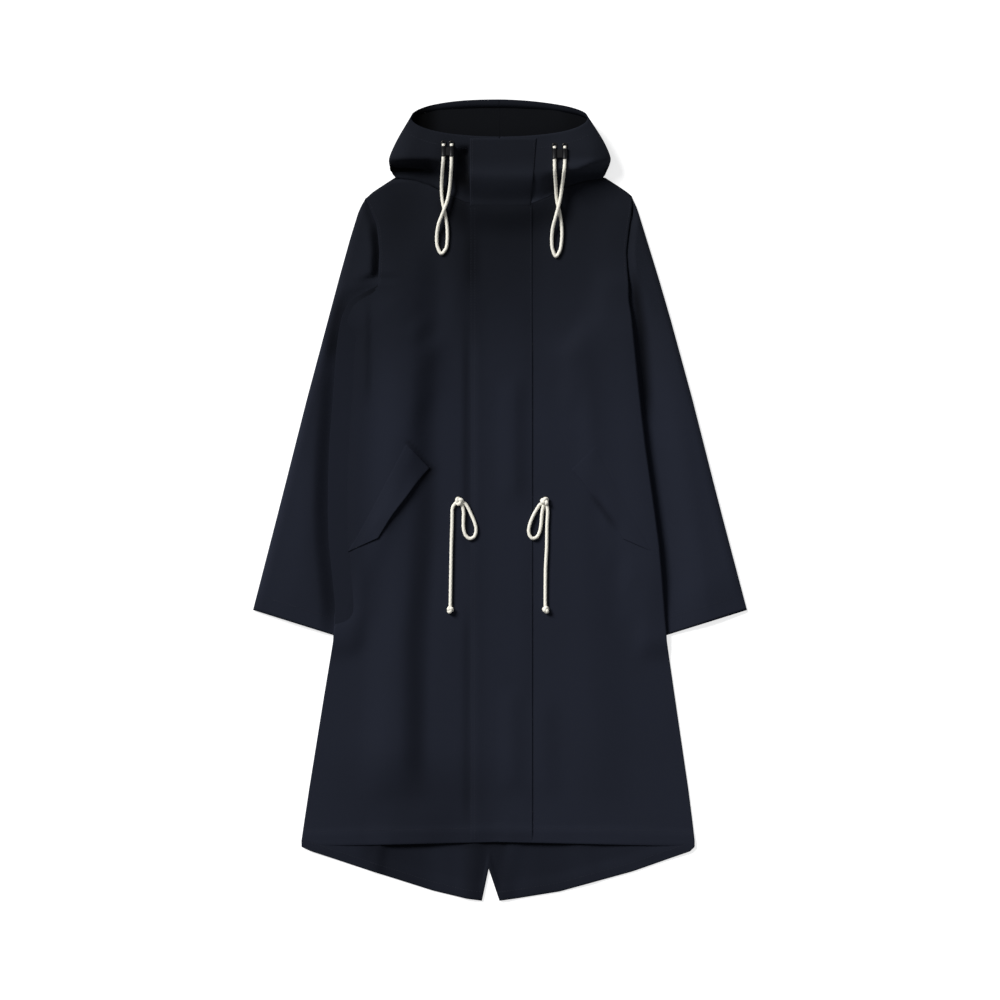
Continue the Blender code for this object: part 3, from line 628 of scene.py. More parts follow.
# the same kind of rows, for painted shade: how much of its light the cloth loses deep in a crease, in a
# hollow or in the shadow beside a raised edge
CREASES = (
    Fold(((306, -230), (240, -244), (150, -250), (0, -258), (-170, -246)), 6, 74, 0.36, 80),
    Fold(((290, -234), (240, -244), (150, -250), (0, -258), (-170, -246)), 6, 11, 0.20, 50),
    Fold(((520, -150), (160, -165)), 50, 60, 0.19, 100),
    Fold(((410, -187), (328, -187)), 3, 5, 0.5, 20),
    Fold(((52, -104), (-57, -183)), 1, 22, 0.34, 16),
    Fold(((60, -98), (20, -128)), 1, 26, 0.16, 16),
    Fold(((16, 131), (-48, 176)), 7, 13, 0.34, 22),
    Fold(((345, -196), (130, -196)), 34, 3, 0.12, 50),
    Fold(((430, -98), (300, -102), (180, -107), (60, -107), (-60, -110), (-210, -130), (-300, -126),
          (-470, -120)), 30, 28, 0.10, 110),
    Fold(((110, -107), (-60, -110), (-210, -130), (-300, -126), (-470, -120)), 28, 24, 0.16, 90),
    Fold(((-350, -100), (-640, -100)), 210, 190, 0.24, 100),
    Fold(((93, -144), (88, -139), (48, -104), (43, -99)), 5, 6, 0.46, 6),
    Fold(((300, -51), (-110, -51)), 10, 8, 0.27, 110),
    Fold(((420, -44), (305, -44)), 16, 22, 0.22, 40),
    Fold(((-150, -50), (-500, -50)), 10, 8, 0.18, 60),
    Fold(((330, -42), (-500, -42)), 4, 36, 0.10, 60),
    Fold(((200, 26), (-20, 26)), 6, 22, 0.09, 50),
    Fold(((330, 46), (-500, 46)), 26, 3, 0.08, 60),
)
# how far the hem of the front stands off the tail: distance across, height
HEM_LIFT = ((-300, 0.0), (-200, 0.6), (-165, 4.2), (-110, 4.0), (-70, 1.4), (-10, 1.6), (15, 3.6),
            (70, 3.2), (110, 1.6), (150, 1.8), (230, 0.9), (300, 0.0))
# how the edge of the body lies on a sleeve: how far it swells, its roll, and its lowest height
Edge = namedtuple("Edge", "swell roll low")
BODY_EDGE = {"right": Edge(0.0, 3.0, 3.3), "left": Edge(6.5, 4.0, 4.4)}
SLEEVE_TOP, SLEEVE_END = 330, -205
UNDERARM_HEIGHT = 7.6     # the body's edge lies no lower than this at the right underarm


def ridges(rows, x, y):
    """The sum of some folds at each place. A fold is one-sided where its flanks differ."""
    total = np.zeros(np.broadcast(x, y).shape)
    for row in rows:
        heights = [place[0] for place in row.route]
        away = x - read(row.route, y)
        across = np.where(away < 0, ease_in(away, -row.left, 0), 1 - ease_in(away, 0, row.right))
        along = ease_in(y, min(heights), min(heights) + row.fade)
        along = along * (1 - ease_in(y, max(heights) - row.fade, max(heights)))
        total += row.height * across * along
    return total


def beside_sleeve(side, y):
    """1 where the body's edge covers a sleeve. At the wearer's right it does so up to the armhole."""
    fade = (SLEEVE_TOP - 2, SLEEVE_TOP + 12) if side == "right" else (SLEEVE_TOP - 40, SLEEVE_TOP)
    return ease_in(y, SLEEVE_END, SLEEVE_END + 40) * (1 - ease_in(y, *fade))


def underarm(y):
    """1 where the body's edge runs out over the sleeve, just below the armhole."""
    return ease_in(y, 225, 262) * (1 - ease_in(y, 326, 340))


def from_body_edge(side, x, y):
    """How far each place is, in the plan, from the nearest point of the body's outer edge."""
    edge_y = np.arange(-540, SHOULDER, 2.5)
    edge_x = body_reach(side, edge_y)
    rows = [np.hypot(np.abs(row_x)[:, None] - edge_x, row_y[:, None] - edge_y).min(axis=1)
            for row_x, row_y in zip(x, y)]
    return np.where(np.abs(x) > body_reach(side, y), 0, np.array(rows))


NECK_LINE = ((0, 443), (50, 446), (75, 456), (100, 470), (130, 480), (157, 483),
             (SHOULDER_REACH, SHOULDER))


def front_shade(x, y):
    """How much light the fronts keep: less in creases and close under the hood."""
    below_neck = read(NECK_LINE, np.abs(x)) - y
    neck = (1 - ease_in(below_neck, 10, 62)) * ease_in(x, -112, -72) * (1 - ease_in(x, -56, -40))
    chest = (1 - ease_in(below_neck, 90, 240)) * ease_in(x, -100, -70) * (1 - ease_in(x, 30, 80))
    return np.clip(1 - ridges(CREASES, x, y) - 0.36 * neck - 0.22 * chest, 0.2, 1)


def front_hem(x):
    return np.interp(np.abs(x), [0, 298], [-512, -519])


def front_top(x, y):
    """The face of the two fronts in millimetres, before their outer edge rolls down."""
    x, y = np.broadcast_arrays(np.asarray(x, float), np.asarray(y, float))
    z = fronts_lie(x, y) + ridges(FOLDS, x, y)
    side_reach = np.where(x < 0, body_reach("right", y), body_reach("left", y))
    inside = side_reach - np.abs(x)
    swell = np.where(x < 0, BODY_EDGE["right"].swell, BODY_EDGE["left"].swell)
    swell = swell * ease_in(y, -200, -90) * (1 - ease_in(y, 240, 320))
    z = z + swell * (1 - ease_in(inside, 8, 70))
    above_hem = y - front_hem(x)
    z = z + read(HEM_LIFT, x) * (1 - ease_in(above_hem, 8, 75))
    z = z + 1.4 * (1 - ease_in(above_hem, 20, 24))
    return z


print("highest fold", round(float(ridges(FOLDS, -134.0, 200.0)), 1), "mm")

# %% [markdown]
# ## The two fronts
#
# The rows of the grid run level from the hem to the chest and then fan out to the shoulder and the
# neckline, as the grain of the cloth does on the table. The outer columns lie close together, because
# there the front rolls down to meet the back.

# %% Grid of a body panel
COLLAR_START = 400        # above it the rows fan out to the neckline
LAST_LEVEL_ROW = -510     # below it the rows bend to the hem
# how far the outermost columns lie inside the edge
EDGE_COLUMNS = np.array([0, 0.5, 1.2, 2.1, 3.2, 4.6, 6.4, 8.5, 11, 14, 18])
SEAM_ROLL = 3.0           # how far the cloth rolls down where the front is sewn to the back
SLOPE_WIDTH = 46


def eased_shoulder(x, y):
    """Draws in the corner between the shoulder and the sleeve, which is a little round."""
    near = np.exp(-((np.abs(x) - SHOULDER_REACH) ** 2 + (y - SHOULDER) ** 2) / 10.0 ** 2)
    return x - np.sign(x) * 1.2 * near, y - 1.7 * near


def front_grid(side):
    sign = SIDES[side]
    rows = []
    collar = np.linspace(1, 0, 14)
    collar_heights = COLLAR_START + (SHOULDER - COLLAR_START) * collar
    flat_heights = np.linspace(COLLAR_START, LAST_LEVEL_ROW, 184)[1:]
    for index, height in enumerate([*collar_heights, *flat_heights]):
        reach = float(body_reach(side, height))
        inner = np.linspace(reach - EDGE_COLUMNS[-1], 1.0, 52)[1:]
        x = np.concatenate([reach - EDGE_COLUMNS, inner])
        if index < len(collar):
            top = np.interp(x, neck_x, front_neck[side])
            y = COLLAR_START + (top - COLLAR_START) * collar[index]
            y[0] = height
        else:
            y = np.full_like(x, height)
        rows.append(np.column_stack([sign * x, y]))
    plan = np.array(rows)
    last = plan[-1]
    extra = [np.column_stack([last[:, 0], last[:, 1] + (front_hem(last[:, 0]) - last[:, 1]) * share])
             for share in (0.5, 1.0)]
    plan = np.concatenate([plan, extra])
    x, y = plan[..., 0], plan[..., 1]
    z = front_top(x, y)
    edge = BODY_EDGE[side]
    covers = beside_sleeve(side, y)
    inside = np.clip(body_reach(side, y) - np.abs(x), 0, None)
    if side == "right":
        inside = np.minimum(inside, from_body_edge(side, x, y))
    roll = SEAM_ROLL + (edge.roll - SEAM_ROLL) * covers
    low = (back_lies(x, y) + 0.5) * (1 - covers) + edge.low * covers
    depth = 1 - np.clip(inside / roll, 0, 1)
    rounding = np.sqrt(np.clip(1 - depth ** 3.5, 0, 1))
    if side == "right":
        # the edge slopes down over a few fingers' width and lies flush on the sleeve
        low = np.maximum(low, np.minimum(z, UNDERARM_HEIGHT) * underarm(y))
        rounding = rounding * (1 - covers) + covers * ease_in(inside, -6, SLOPE_WIDTH)
    z = low + (z - low) * rounding
    if side == "right":
        z = z - tucked(inside, 0.9) * covers
    return np.stack([*eased_shoulder(x, y), z], axis=-1)


def facing_up(grid):
    """Puts the rows in the order in which the face of the sheet looks up."""
    normal = grid_normals(grid)
    return grid if normal[..., 2].mean() > 0 else grid[:, ::-1]


fronts = {side: add_sheet("front_panel_" + side, with_hem(facing_up(front_grid(side))), CLOTH,
                          shell_cloth, front_shade) for side in SIDES}
for side in SIDES:
    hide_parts("front_" + side)

# %% [markdown]
# ## The back and its fishtail
#
# Only the tail shows, below the hem of the fronts, but the back is one panel up to the neck, and it
# shows whole from below. Its hem has a notch beside the centre. Small soft ridges lift the tail off the
# table, as a curved hem never lies quite flat.

# %% Back panel
TAIL_EDGE = (
    (-298, -519), (-283, -526), (-195, -555), (-100, -585), (-50, -597), (-27, -600),
    (-17, -552), (-1, -600), (22, -597), (90, -586), (199, -556), (285, -526), (292, -519),
)
NOTCH_COLUMNS = (-27, -17, -1, 22)        # the grid has a column at each corner of the notch
BACK_UNDER = 0.6          # the back ends this far under the edge of the fronts
BACK_NECK = ((0, 486), (157, 484), (SHOULDER_REACH, SHOULDER))
TAIL_FOLDS = (
    Fold(((-480, -173), (-600, -192)), 18, 10, 2.6, 16),
    Fold(((-480, -36), (-620, -47)), 26, 20, 2.4, 18),
    Fold(((-480, 27), (-620, 2)), 16, 22, 1.8, 18),
    Fold(((-480, 117), (-620, 140)), 30, 30, 1.2, 20),
)
# how much light the tail keeps, by the distance across: it hangs in soft waves
TAIL_LIGHT = ((-300, 0.85), (-215, 0.80), (-190, 0.50), (-150, 0.57), (-120, 0.62), (-95, 0.76),
              (-65, 0.76), (-48, 0.58), (5, 0.57), (25, 0.80), (60, 0.71), (150, 0.80), (290, 0.92))


def tail_shade(x, y):
    """Painted shade darkens the tail close to the hem of the fronts and in its waves."""
    below_hem = front_hem(x) - y
    close = 0.2 * (1 - ease_in(below_hem, 0, 14)) * (1 - ease_in(np.abs(x), 120, 220))
    return read(TAIL_LIGHT, x) - close


def back_grid():
    rows = []
    collar = np.linspace(1, 0, 10)
    heights = [*(COLLAR_START + (SHOULDER - COLLAR_START) * collar),
               *np.linspace(COLLAR_START, -512, 150)[1:]]
    for index, height in enumerate(heights):
        right = float(body_reach("right", height)) - BACK_UNDER
        left = float(body_reach("left", height)) - BACK_UNDER
        stops = [-right + EDGE_COLUMNS[-1], *NOTCH_COLUMNS, left - EDGE_COLUMNS[-1]]
        spans = [np.linspace(a, b, count)[1:] for a, b, count in zip(stops, stops[1:], (42, 5, 6, 6, 42))]
        x = np.concatenate([-right + EDGE_COLUMNS, *spans, left - EDGE_COLUMNS[::-1][1:]])
        if index < len(collar):
            y = COLLAR_START + (read(BACK_NECK, np.abs(x)) - COLLAR_START) * collar[index]
            y[0] = y[-1] = height
        else:
            y = np.full_like(x, height)
        rows.append(np.column_stack([x, y]))
    last = rows[-1]
    for share in np.linspace(0, 1, 22)[1:]:
        x, y = last.T
        rows.append(np.column_stack([x, y + (read(TAIL_EDGE, x) - y) * share]))
    plan = np.array(rows)
    x, y = plan[..., 0], plan[..., 1]
    z = back_lies(x, y) + ridges(TAIL_FOLDS, x, y)
    z = z + 1.6 * (1 - ease_in(y - read(TAIL_EDGE, x), 10, 30))
    # at both sides the hem of the fronts lies close on the tail
    z = z + 1.7 * (1 - ease_in(np.abs(y - front_hem(x)), 2, 28)) * ease_in(np.abs(x), 130, 220)
    return np.stack([*eased_shoulder(x, y), z], axis=-1)


back = add_sheet("back_panel", with_hem(facing_up(back_grid())), CLOTH, shell_cloth, tail_shade)
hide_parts("back")

# %% [markdown]
# ## The sleeves
#
# A set-in sleeve is one piece of cloth sewn to a tube. Pressed flat it has a fold at the outside and
# one under the arm. Every ring of the grid goes round the tube once, and the rings run from the cuff to
# the armhole. The top of the tube is pillowed, and it dips into the seam and under the edge of the body.

# %% Sleeve tubes
CUFF_OUTER = np.array([370.5, -165.0])
CUFF_WIDTH = 135
CUFF_DIRECTION = np.array([-0.954, -0.298])
CUFF_INNER = CUFF_OUTER + CUFF_WIDTH * CUFF_DIRECTION
HIDDEN_SEAM = ((176, 285), (150, 250), (123, 222))     # under the body
SLEEVE_HEIGHT = 5.4
SLEEVE_RISE = 620         # about how far the shoulder lies above the cuff
TUBE_MIDDLE = 2.4         # the folds at both sides of the flat tube lie at this height
OUTER_ROUND, INNER_ROUND = 13, 6          # over this width the tube rounds off to its folds
UNDERARM_FAR = 52         # at the right underarm the top reaches its crest only this far out
SEAM_TUCK, UNDERARM_TUCK = 3.0, 12.0      # how far the seam lies inside the body's edge
# the height at the body's edge, the crest, and how far out the top starts to rise and is at its crest
Pillow = namedtuple("Pillow", "edge crest near far")
PILLOW = {"right": Pillow(3.0, 11.5, -2, 24), "left": Pillow(3.4, 11.0, 8, 66)}
ARMHOLE = Pillow(2.2, 9.5, -1, 13)
sleeve_levels = np.arange(-160, 431, 10.0)
sleeve_reaches = {side: np.array([max(map(abs, cut("sleeve_" + side, 1, y))) for y in sleeve_levels])
                  for side in SIDES}


def along_line(points, shares):
    points = np.asarray(points, float)
    run = np.concatenate([[0], np.linalg.norm(np.diff(points, axis=0), axis=1).cumsum()])
    return np.column_stack([np.interp(shares * run[-1], run, points[:, axis]) for axis in (0, 1)])


def sleeve_grid(side):
    sign = SIDES[side]
    pillow = PILLOW[side]
    seam_heights = np.linspace(SHOULDER, 322, 16)
    # the seam lies just under the body's edge, and deeper towards the underarm
    tucks = SEAM_TUCK * ease_in(SHOULDER - seam_heights, 0, 12)
    tucks = tucks + UNDERARM_TUCK * (1 - ease_in(seam_heights, 322, 356))
    seam = [(float(body_reach(side, y)) - float(tuck), y) for y, tuck in zip(seam_heights, tucks)]
    seam += list(HIDDEN_SEAM)
    shares = np.concatenate([[0, 0.004, 0.012, 0.024, 0.04, 0.06, 0.085], np.linspace(0.11, 0.9, 44),
                             [0.93, 0.955, 0.975, 0.99, 1.0]])
    ends = along_line(seam, shares)
    corner = ends[0]
    outer_y = np.append(sleeve_levels, SHOULDER)
    outer_x = np.append(sleeve_reaches[side], corner[0])
    outer_y, outer_x = np.append(CUFF_OUTER[1], outer_y[1:]), np.append(CUFF_OUTER[0], outer_x[1:])
    rings = []
    for along in np.linspace(0, 1, 128):
        height = CUFF_OUTER[1] + (SHOULDER - CUFF_OUTER[1]) * along
        outer = np.array([np.interp(height, outer_y, outer_x), height])
        straight = CUFF_OUTER + (corner - CUFF_OUTER) * along
        cuff = CUFF_OUTER + shares[:, None] * (CUFF_INNER - CUFF_OUTER)
        place = cuff + (ends - cuff) * along + (1 - shares)[:, None] * (outer - straight)
        x, y = place[:, 0], place[:, 1]
        from_outer = np.linalg.norm(place - place[0], axis=1)
        from_inner = np.linalg.norm(place - place[-1], axis=1)
        outside = x - body_reach(side, y)
        from_cuff = along * SLEEVE_RISE
        at_armhole = ease_in(y, 255, 345)
        edge = pillow.edge + (ARMHOLE.edge - pillow.edge) * at_armhole
        near = pillow.near + (ARMHOLE.near - pillow.near) * at_armhole
        far = pillow.far + (ARMHOLE.far - pillow.far) * at_armhole
        if side == "right":
            edge = edge + (UNDERARM_HEIGHT - 0.4 - edge) * underarm(y)
            far = far + (UNDERARM_FAR - far) * underarm(y)
        crest = pillow.crest + (ARMHOLE.crest - pillow.crest) * ease_in(y, 290, 400)
        crest = SLEEVE_HEIGHT + (crest - SLEEVE_HEIGHT) * ease_in(from_cuff, -30, 70)
        crest = crest - 2.5 * (1 - ease_in(from_outer, 0, 60))
        top = edge + (crest - edge) * ease_in((outside - near) / (far - near), 0, 1)
        rounding = rounded(from_outer, OUTER_ROUND) * rounded(from_inner, INNER_ROUND)
        top = TUBE_MIDDLE + (top - TUBE_MIDDLE) * rounding
        low = TUBE_MIDDLE - TUBE_MIDDLE * rounding
        x, y = eased_shoulder(x, y)
        upper = np.column_stack([sign * x, y, top])
        lower = np.column_stack([sign * x, y, low])[1:-1][::-1]
        rings.append(np.concatenate([upper, lower[::2]]))
    return np.array(rings)


# painted shade: how much of its light each sleeve loses beside the body's edge and under the arm
SLEEVE_CREASES = (
    Fold(((225, -254), (150, -262), (0, -261), (-75, -260), (-200, -246)), 44, 16, 0.27, 60),
    Fold(((322, -226), (300, -239), (255, -250), (215, -255), (190, -258)), 14, 26, 0.52, 44),
    Fold(((360, 198), (300, 204), (255, 211), (210, 215), (105, 222)), 9, 16, 0.72, 60),
)


def sleeve_shade(x, y):
    outside = np.abs(x) - np.where(x < 0, body_reach("right", y), body_reach("left", y))
    groove = (1 - ease_in(outside, 1, 18)) * ease_in(y, 326, 344) * (1 - ease_in(y, 395, 420))
    # painted shade in the armhole's groove; the wearer's left sleeve is also painted a tenth lighter
    shade = np.where(x < 0, 1 - 0.5 * groove, 1.1 - 0.2 * groove)
    return np.clip(shade - ridges(SLEEVE_CREASES, x, y), 0.2, 1.2)


def looks_up(grid, row, column):
    """Whether the face of a grid looks up beside one of its points."""
    corner = grid[row, column]
    return np.cross(grid[row, column + 1] - corner, grid[row + 1, column] - corner)[2] > 0


sleeves = {}
for side in SIDES:
    grid = sleeve_grid(side)[::-1]
    grid = grid if looks_up(grid, 60, 30) else grid[:, ::-1]
    sleeves[side] = add_sheet("sleeve_tube_" + side, grid, CLOTH, shell_cloth, sleeve_shade, closed=True)
    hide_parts("sleeve_" + side)

# %% [markdown]
# ## The hood
#
# The hood has collapsed. Its front stands up from the neckline as a steep wall, turns over and lies
# level, and the rim of its mouth curves across. Behind the mouth its back shows from inside, lying on
# the folded bag. Each half is one sheet, lofted from the centre of the front round the side fold to the
# centre of the back. Its rim is hemmed, and the cord in the hem gathers it into small waves.

# %% Form of the hood
HOOD_EDGE = {
    "right": ((483, 158), (492, 163), (504, 166.5), (515, 165.5), (540, 154), (577, 132), (600, 120)),
    "left": ((483, 156), (492, 160), (504, 165), (515, 165.5), (540, 154), (577, 130), (600, 117)),
}
# where the front of the hood drops to the neckline: distance out, lower and upper end of the drop
Drop = namedtuple("Drop", "reach foot top")
HOOD_DROP = {
    "right": (Drop(0, 444, 492), Drop(55, 450, 494), Drop(80, 470, 506), Drop(105, 492, 511),
              Drop(165, 494, 511)),
    "left": (Drop(0, 444, 492), Drop(60, 448, 492), Drop(85, 466, 496), Drop(115, 476, 496),
             Drop(140, 484, 506), Drop(165, 492, 513)),
}
SIDE_FOLD = ((506, 21), (540, 27), (577, 35))
MOUTH_CORNER, MOUTH_FRONT, HOOD_END = 577, 542.5, 598.6
HOOD_TOP = 37
# the rim's hem is pressed flat, so its turned edge dies away into the cloth
RIM_TURN = ((0.7, 0.4), (1.1, 1.2), (0.8, 2.0), (-0.6, 2.5), (-5.0, 2.1), (-11.0, 1.45))
BACK_RIM = 28.6
CROWN_FRONT, CROWN_BACK, CROWN_LOW, CROWN_HIGH = 503, 592, 9, 27
NECK_OVERLAP = 1.0
SEAM_LEVEL = 490          # just above the neck seam
# where a column of the hood leaves the neck seam, starts to rise and lies level
Rise = namedtuple("Rise", "start foot top")
BACK_RISE, FOLD_RISE = Rise(487.0, 488.5, 503.0), Rise(485.0, 487.0, 507.0)
hood_outline = {side: curve_through(rows, 2.0) for side, rows in HOOD_EDGE.items()}


def hood_reach(side, y):
    return read(hood_outline[side], y)


def drop_of(side, x, part):
    return read([(row.reach, getattr(row, part)) for row in HOOD_DROP[side]], x)


def hood_relief(side, x, y):
    """Small hollows and swellings of the hood's front, in millimetres."""
    sign = SIDES[side]
    level = ease_in(y, drop_of(side, x, "top") - 8, drop_of(side, x, "top") + 4)
    lobe = ease_in(x, 70, 100) * (1 - ease_in(x, 135, 165))
    z = 2.6 * lobe * level * (1 - ease_in(y, 520, 560))
    if side == "right":
        # the cloth falls away to the throat flap's stitched edge
        fall = ease_in(x, 45.5, 48) * (1 - ease_in(x, 48, 76))
        z = z - 11 * fall * ease_in(y, 462, 492) * (1 - ease_in(y, 516, 532))
    waves = 0.7 * np.sin(x / 7.0 + y / 19.0) * ease_in(x, 60, 110) * ease_in(y, 540, 572)
    return z + waves * level


def towards_fold(side, x, y, base, height, start):
    """Takes one wall of the hood down to its side fold, from a share of its reach onwards."""
    fold = base + (read(SIDE_FOLD, y) - base) * ease_in(y, 484, 506)
    past = np.clip((x / hood_reach(side, y) - start) / (1 - start), 0, 1)
    return fold + (height - fold) * np.sqrt(1 - past ** 2)


def hood_front(side, x, y):
    foot, top = drop_of(side, x, "foot"), drop_of(side, x, "top")
    neck = read(NECK_LINE, x)
    low = front_top(SIDES[side] * x, np.minimum(y, neck - 1)) + 0.35
    height = low + (HOOD_TOP - low) * ease_in(y, foot, top) + hood_relief(side, x, y)
    return towards_fold(side, x, y, low, height, 0.8)


def crown_top(y):
    return np.interp(y, [CROWN_FRONT, CROWN_BACK], [CROWN_LOW, CROWN_HIGH])


def hood_back(side, x, y):
    lying = 0.3 + (crown_top(y) + 0.6) * ease_in(y, 486, 499)
    lying = lying + (BACK_RIM - CROWN_HIGH) * ease_in(y, 588, 600)
    return towards_fold(side, x, y, lying, lying, 0.86)


def rim_height(side, share, behind):
    if not behind:
        return MOUTH_CORNER - (MOUTH_CORNER - MOUTH_FRONT) * math.sqrt(max(0, 1 - share * share))
    fullness = 2.5 if side == "right" else 1.7
    return MOUTH_CORNER + (HOOD_END - MOUTH_CORNER) * math.sqrt(max(0, 1 - abs(share) ** fullness))


def hood_column(side, share, behind):
    """One line of the hood from the neck seam to the rim."""
    x = share * float(hood_reach(side, SEAM_LEVEL))
    rim = rim_height(side, share, behind)
    if behind:
        rise = BACK_RISE
    elif share > 0.985:
        rise = FOLD_RISE
    else:
        start = float(read(NECK_LINE, x)) - NECK_OVERLAP
        foot = max(float(drop_of(side, x, "foot")), start + 1)
        rise = Rise(start, foot, float(drop_of(side, x, "top")))
    heights = np.concatenate([np.linspace(rise.start, rise.foot, 4),
                              np.linspace(rise.foot, rise.top, 18)[1:],
                              np.linspace(rise.top, rim, 20)[1:]])
    x = share * hood_reach(side, heights)
    z = (hood_back if behind else hood_front)(side, x, heights)
    if behind and share < 0 and side == "left":
        z = z - 0.3                         # one half laps under the other at the centre seam
    return np.column_stack([SIDES[side] * x, heights, z])


def hood_shade(side, x, y, behind):
    """How much light the hood keeps, as painted shade and light: little under its lobes, in its hollow and
    at its inner ends, and more on the front of the left half.
    """
    lobe = ease_in(y, 486, 494) * (1 - ease_in(y, 505, 516)) * ease_in(x, 76, 92)
    wall = 1 - ease_in(y, drop_of(side, x, "foot") + 18, drop_of(side, x, "top"))
    wall = wall * (1 - ease_in(x, 60, 90))
    hollow = ease_in(x, 44, 47) * (1 - ease_in(x, 56, 72))
    hollow = hollow * ease_in(y, 455, 480) * (1 - ease_in(y, 520, 538))
    if side == "right":
        front = 1 - 0.55 * lobe - 0.25 * wall - 0.7 * hollow
    else:
        # painted light: the left half's front is lighter, most on its steep wall
        front = 1.2 + 0.9 * wall + 0.5 * lobe
    back = 1 - (0.92 if side == "right" else 0.25) * ease_in(x, 84, 114)
    return np.where(behind, back, np.clip(front, 0.15, 2.2))


def hood_grid(side):
    front_shares = np.concatenate([np.linspace(0.004, 0.8, 42), [0.83, 0.86, 0.89, 0.915, 0.937,
                                   0.956, 0.971, 0.983, 0.992]])
    back_shares = np.concatenate([[0.998, 0.99, 0.975, 0.955, 0.93, 0.9, 0.86], np.linspace(0.8, 0.02, 20),
                                  [0.004, -0.012, -0.014] if side == "left" else [0.003, 0.0]])
    columns = [hood_column(side, share, False) for share in front_shares]
    columns += [hood_column(side, share, True) for share in back_shares]
    grid = np.array(columns).transpose(1, 0, 2)
    behind = np.arange(grid.shape[1]) >= len(front_shares)
    return grid, hood_shade(side, np.abs(grid[..., 0]), grid[..., 1], behind[None, :])


hoods = {}
for side in SIDES:
    grid, shade = hood_grid(side)
    if not looks_up(grid, 35, 24):
        # outwards is up on the front of the hood
        grid, shade = grid[:, ::-1], shade[:, ::-1]
    shade = np.concatenate([shade, np.repeat(shade[-1:], len(RIM_TURN), axis=0)])
    hoods[side] = add_sheet("hood_half_" + side, with_hem(grid, RIM_TURN), CLOTH, shell_cloth, shade)
    hoods[side].data.materials.append(shaded_inner_cloth)
    hoods[side].modifiers["cloth"].material_offset = 1
    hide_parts("hood_" + side)

# %% [markdown]
# ## The folded bag under the hood
#
# The crown of the hood is tucked away below, in several layers. They are hidden but for their edges, so
# one rounded body stands for them. Its side is drawn in between the layers, unevenly, as folded cloth
# is.

# %% Folded crown
LAYERS = 5
RINGS_A_LAYER = 9
CROWN_SIDES = 160
CROWN_HALF_WIDTH = 138


def crown_grid():
    middle, half_depth = (CROWN_FRONT + CROWN_BACK) / 2, (CROWN_BACK - CROWN_FRONT) / 2
    turns = np.arange(CROWN_SIDES) / CROWN_SIDES * math.tau
    cos, sin = np.cos(turns), np.sin(turns)
    rings = []
    for level in np.linspace(0, 1, LAYERS * RINGS_A_LAYER + 1):
        layer = min(LAYERS - 1, int(level * LAYERS))
        within = level * LAYERS - layer
        pinch = 2.6 * (1 - math.sqrt(max(0, 1 - (2 * within - 1) ** 2)))
        shift = 1.3 * np.sin(turns * (2 + layer) + layer * 1.9)
        top_edge = 6 * max(0, level - 0.9) / 0.1
        inset = 1.6 + pinch + shift + top_edge
        x = np.copysign(np.abs(cos) ** 0.5, cos) * (CROWN_HALF_WIDTH - inset)
        y = middle + np.copysign(np.abs(sin) ** 0.6, sin) * (half_depth - inset)
        rings.append(np.column_stack([x, y, level * (crown_top(y) - 0.4)]))
    return np.array(rings)


crown_mesh = closed_up(grid_mesh("folded_crown", crown_grid(), closed=True))
crown = add_piece("folded_crown", crown_mesh, shaded_inner_cloth)
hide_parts("hood_crown")
print("folded crown", len(crown_mesh.polygons), "faces")

# %% [markdown]
# ## Placket and throat flap
#
# Both are strips of doubled cloth. The placket is sewn down at the wearer's right and free at the left,
# where its edge casts a thin line of shade. The throat flap closes the front of the hood above it.

# %% Strips down the middle
PLACKET = (-46, 49)       # the edges of each strip
THROAT = (-45, 55)
THROAT_TOP = MOUTH_FRONT - 1.2
THROAT_FOOT = 439.6
PLACKET_FOOT = -513


def placket_grid():
    y = np.concatenate([np.linspace(450, -500, 198), [-503, -506, -508.5, -510.5, -512.2, -512.9]])
    x = np.concatenate([[0, 0.6, 1.4, 2.6, 4.5], np.linspace(7, 88, 22), [90.5, 92.4, 93.6, 94.4, 95]])
    x = PLACKET[0] + x
    x, y = np.meshgrid(x, y)
    # flush where it is sewn down and at the hem, and standing off a little at its free edge
    stands = ease_in(x - PLACKET[0], 0, 14) * ease_in(y + 511, 0, 16) * ease_in(450 - y, 0, 20)
    z = front_top(x, y) + 0.1 + (1.3 - 0.7 * ease_in(y, 190, 290)) * stands
    z = z - tucked(x - PLACKET[0]) - tucked(y - PLACKET_FOOT) * ease_in(np.abs(x), 2, 7)
    z = z - 0.6 * (1 - rounded(PLACKET[1] - x, 1.6))
    return np.stack([x, y, z], axis=-1)


placket = add_sheet("placket_strip", facing_up(placket_grid()), DOUBLE, shell_cloth, front_shade)
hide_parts("placket")

below_throat = surface_of([*fronts.values(), *hoods.values()])


def laid_grid(x, y, surface, reach, blur_passes):
    """Heights of a grid on a surface, smoothed along and across."""
    z = np.array([[height_on(surface, a, b, reach) for a, b in zip(row_x, row_y)]
                  for row_x, row_y in zip(x, y)])
    for _ in range(blur_passes):
        padded = np.pad(z, 1, mode="edge")
        mean = (padded[:-2, 1:-1] + padded[2:, 1:-1] + padded[1:-1, :-2] + padded[1:-1, 2:]) / 4
        z = np.maximum(z, mean)
    return z


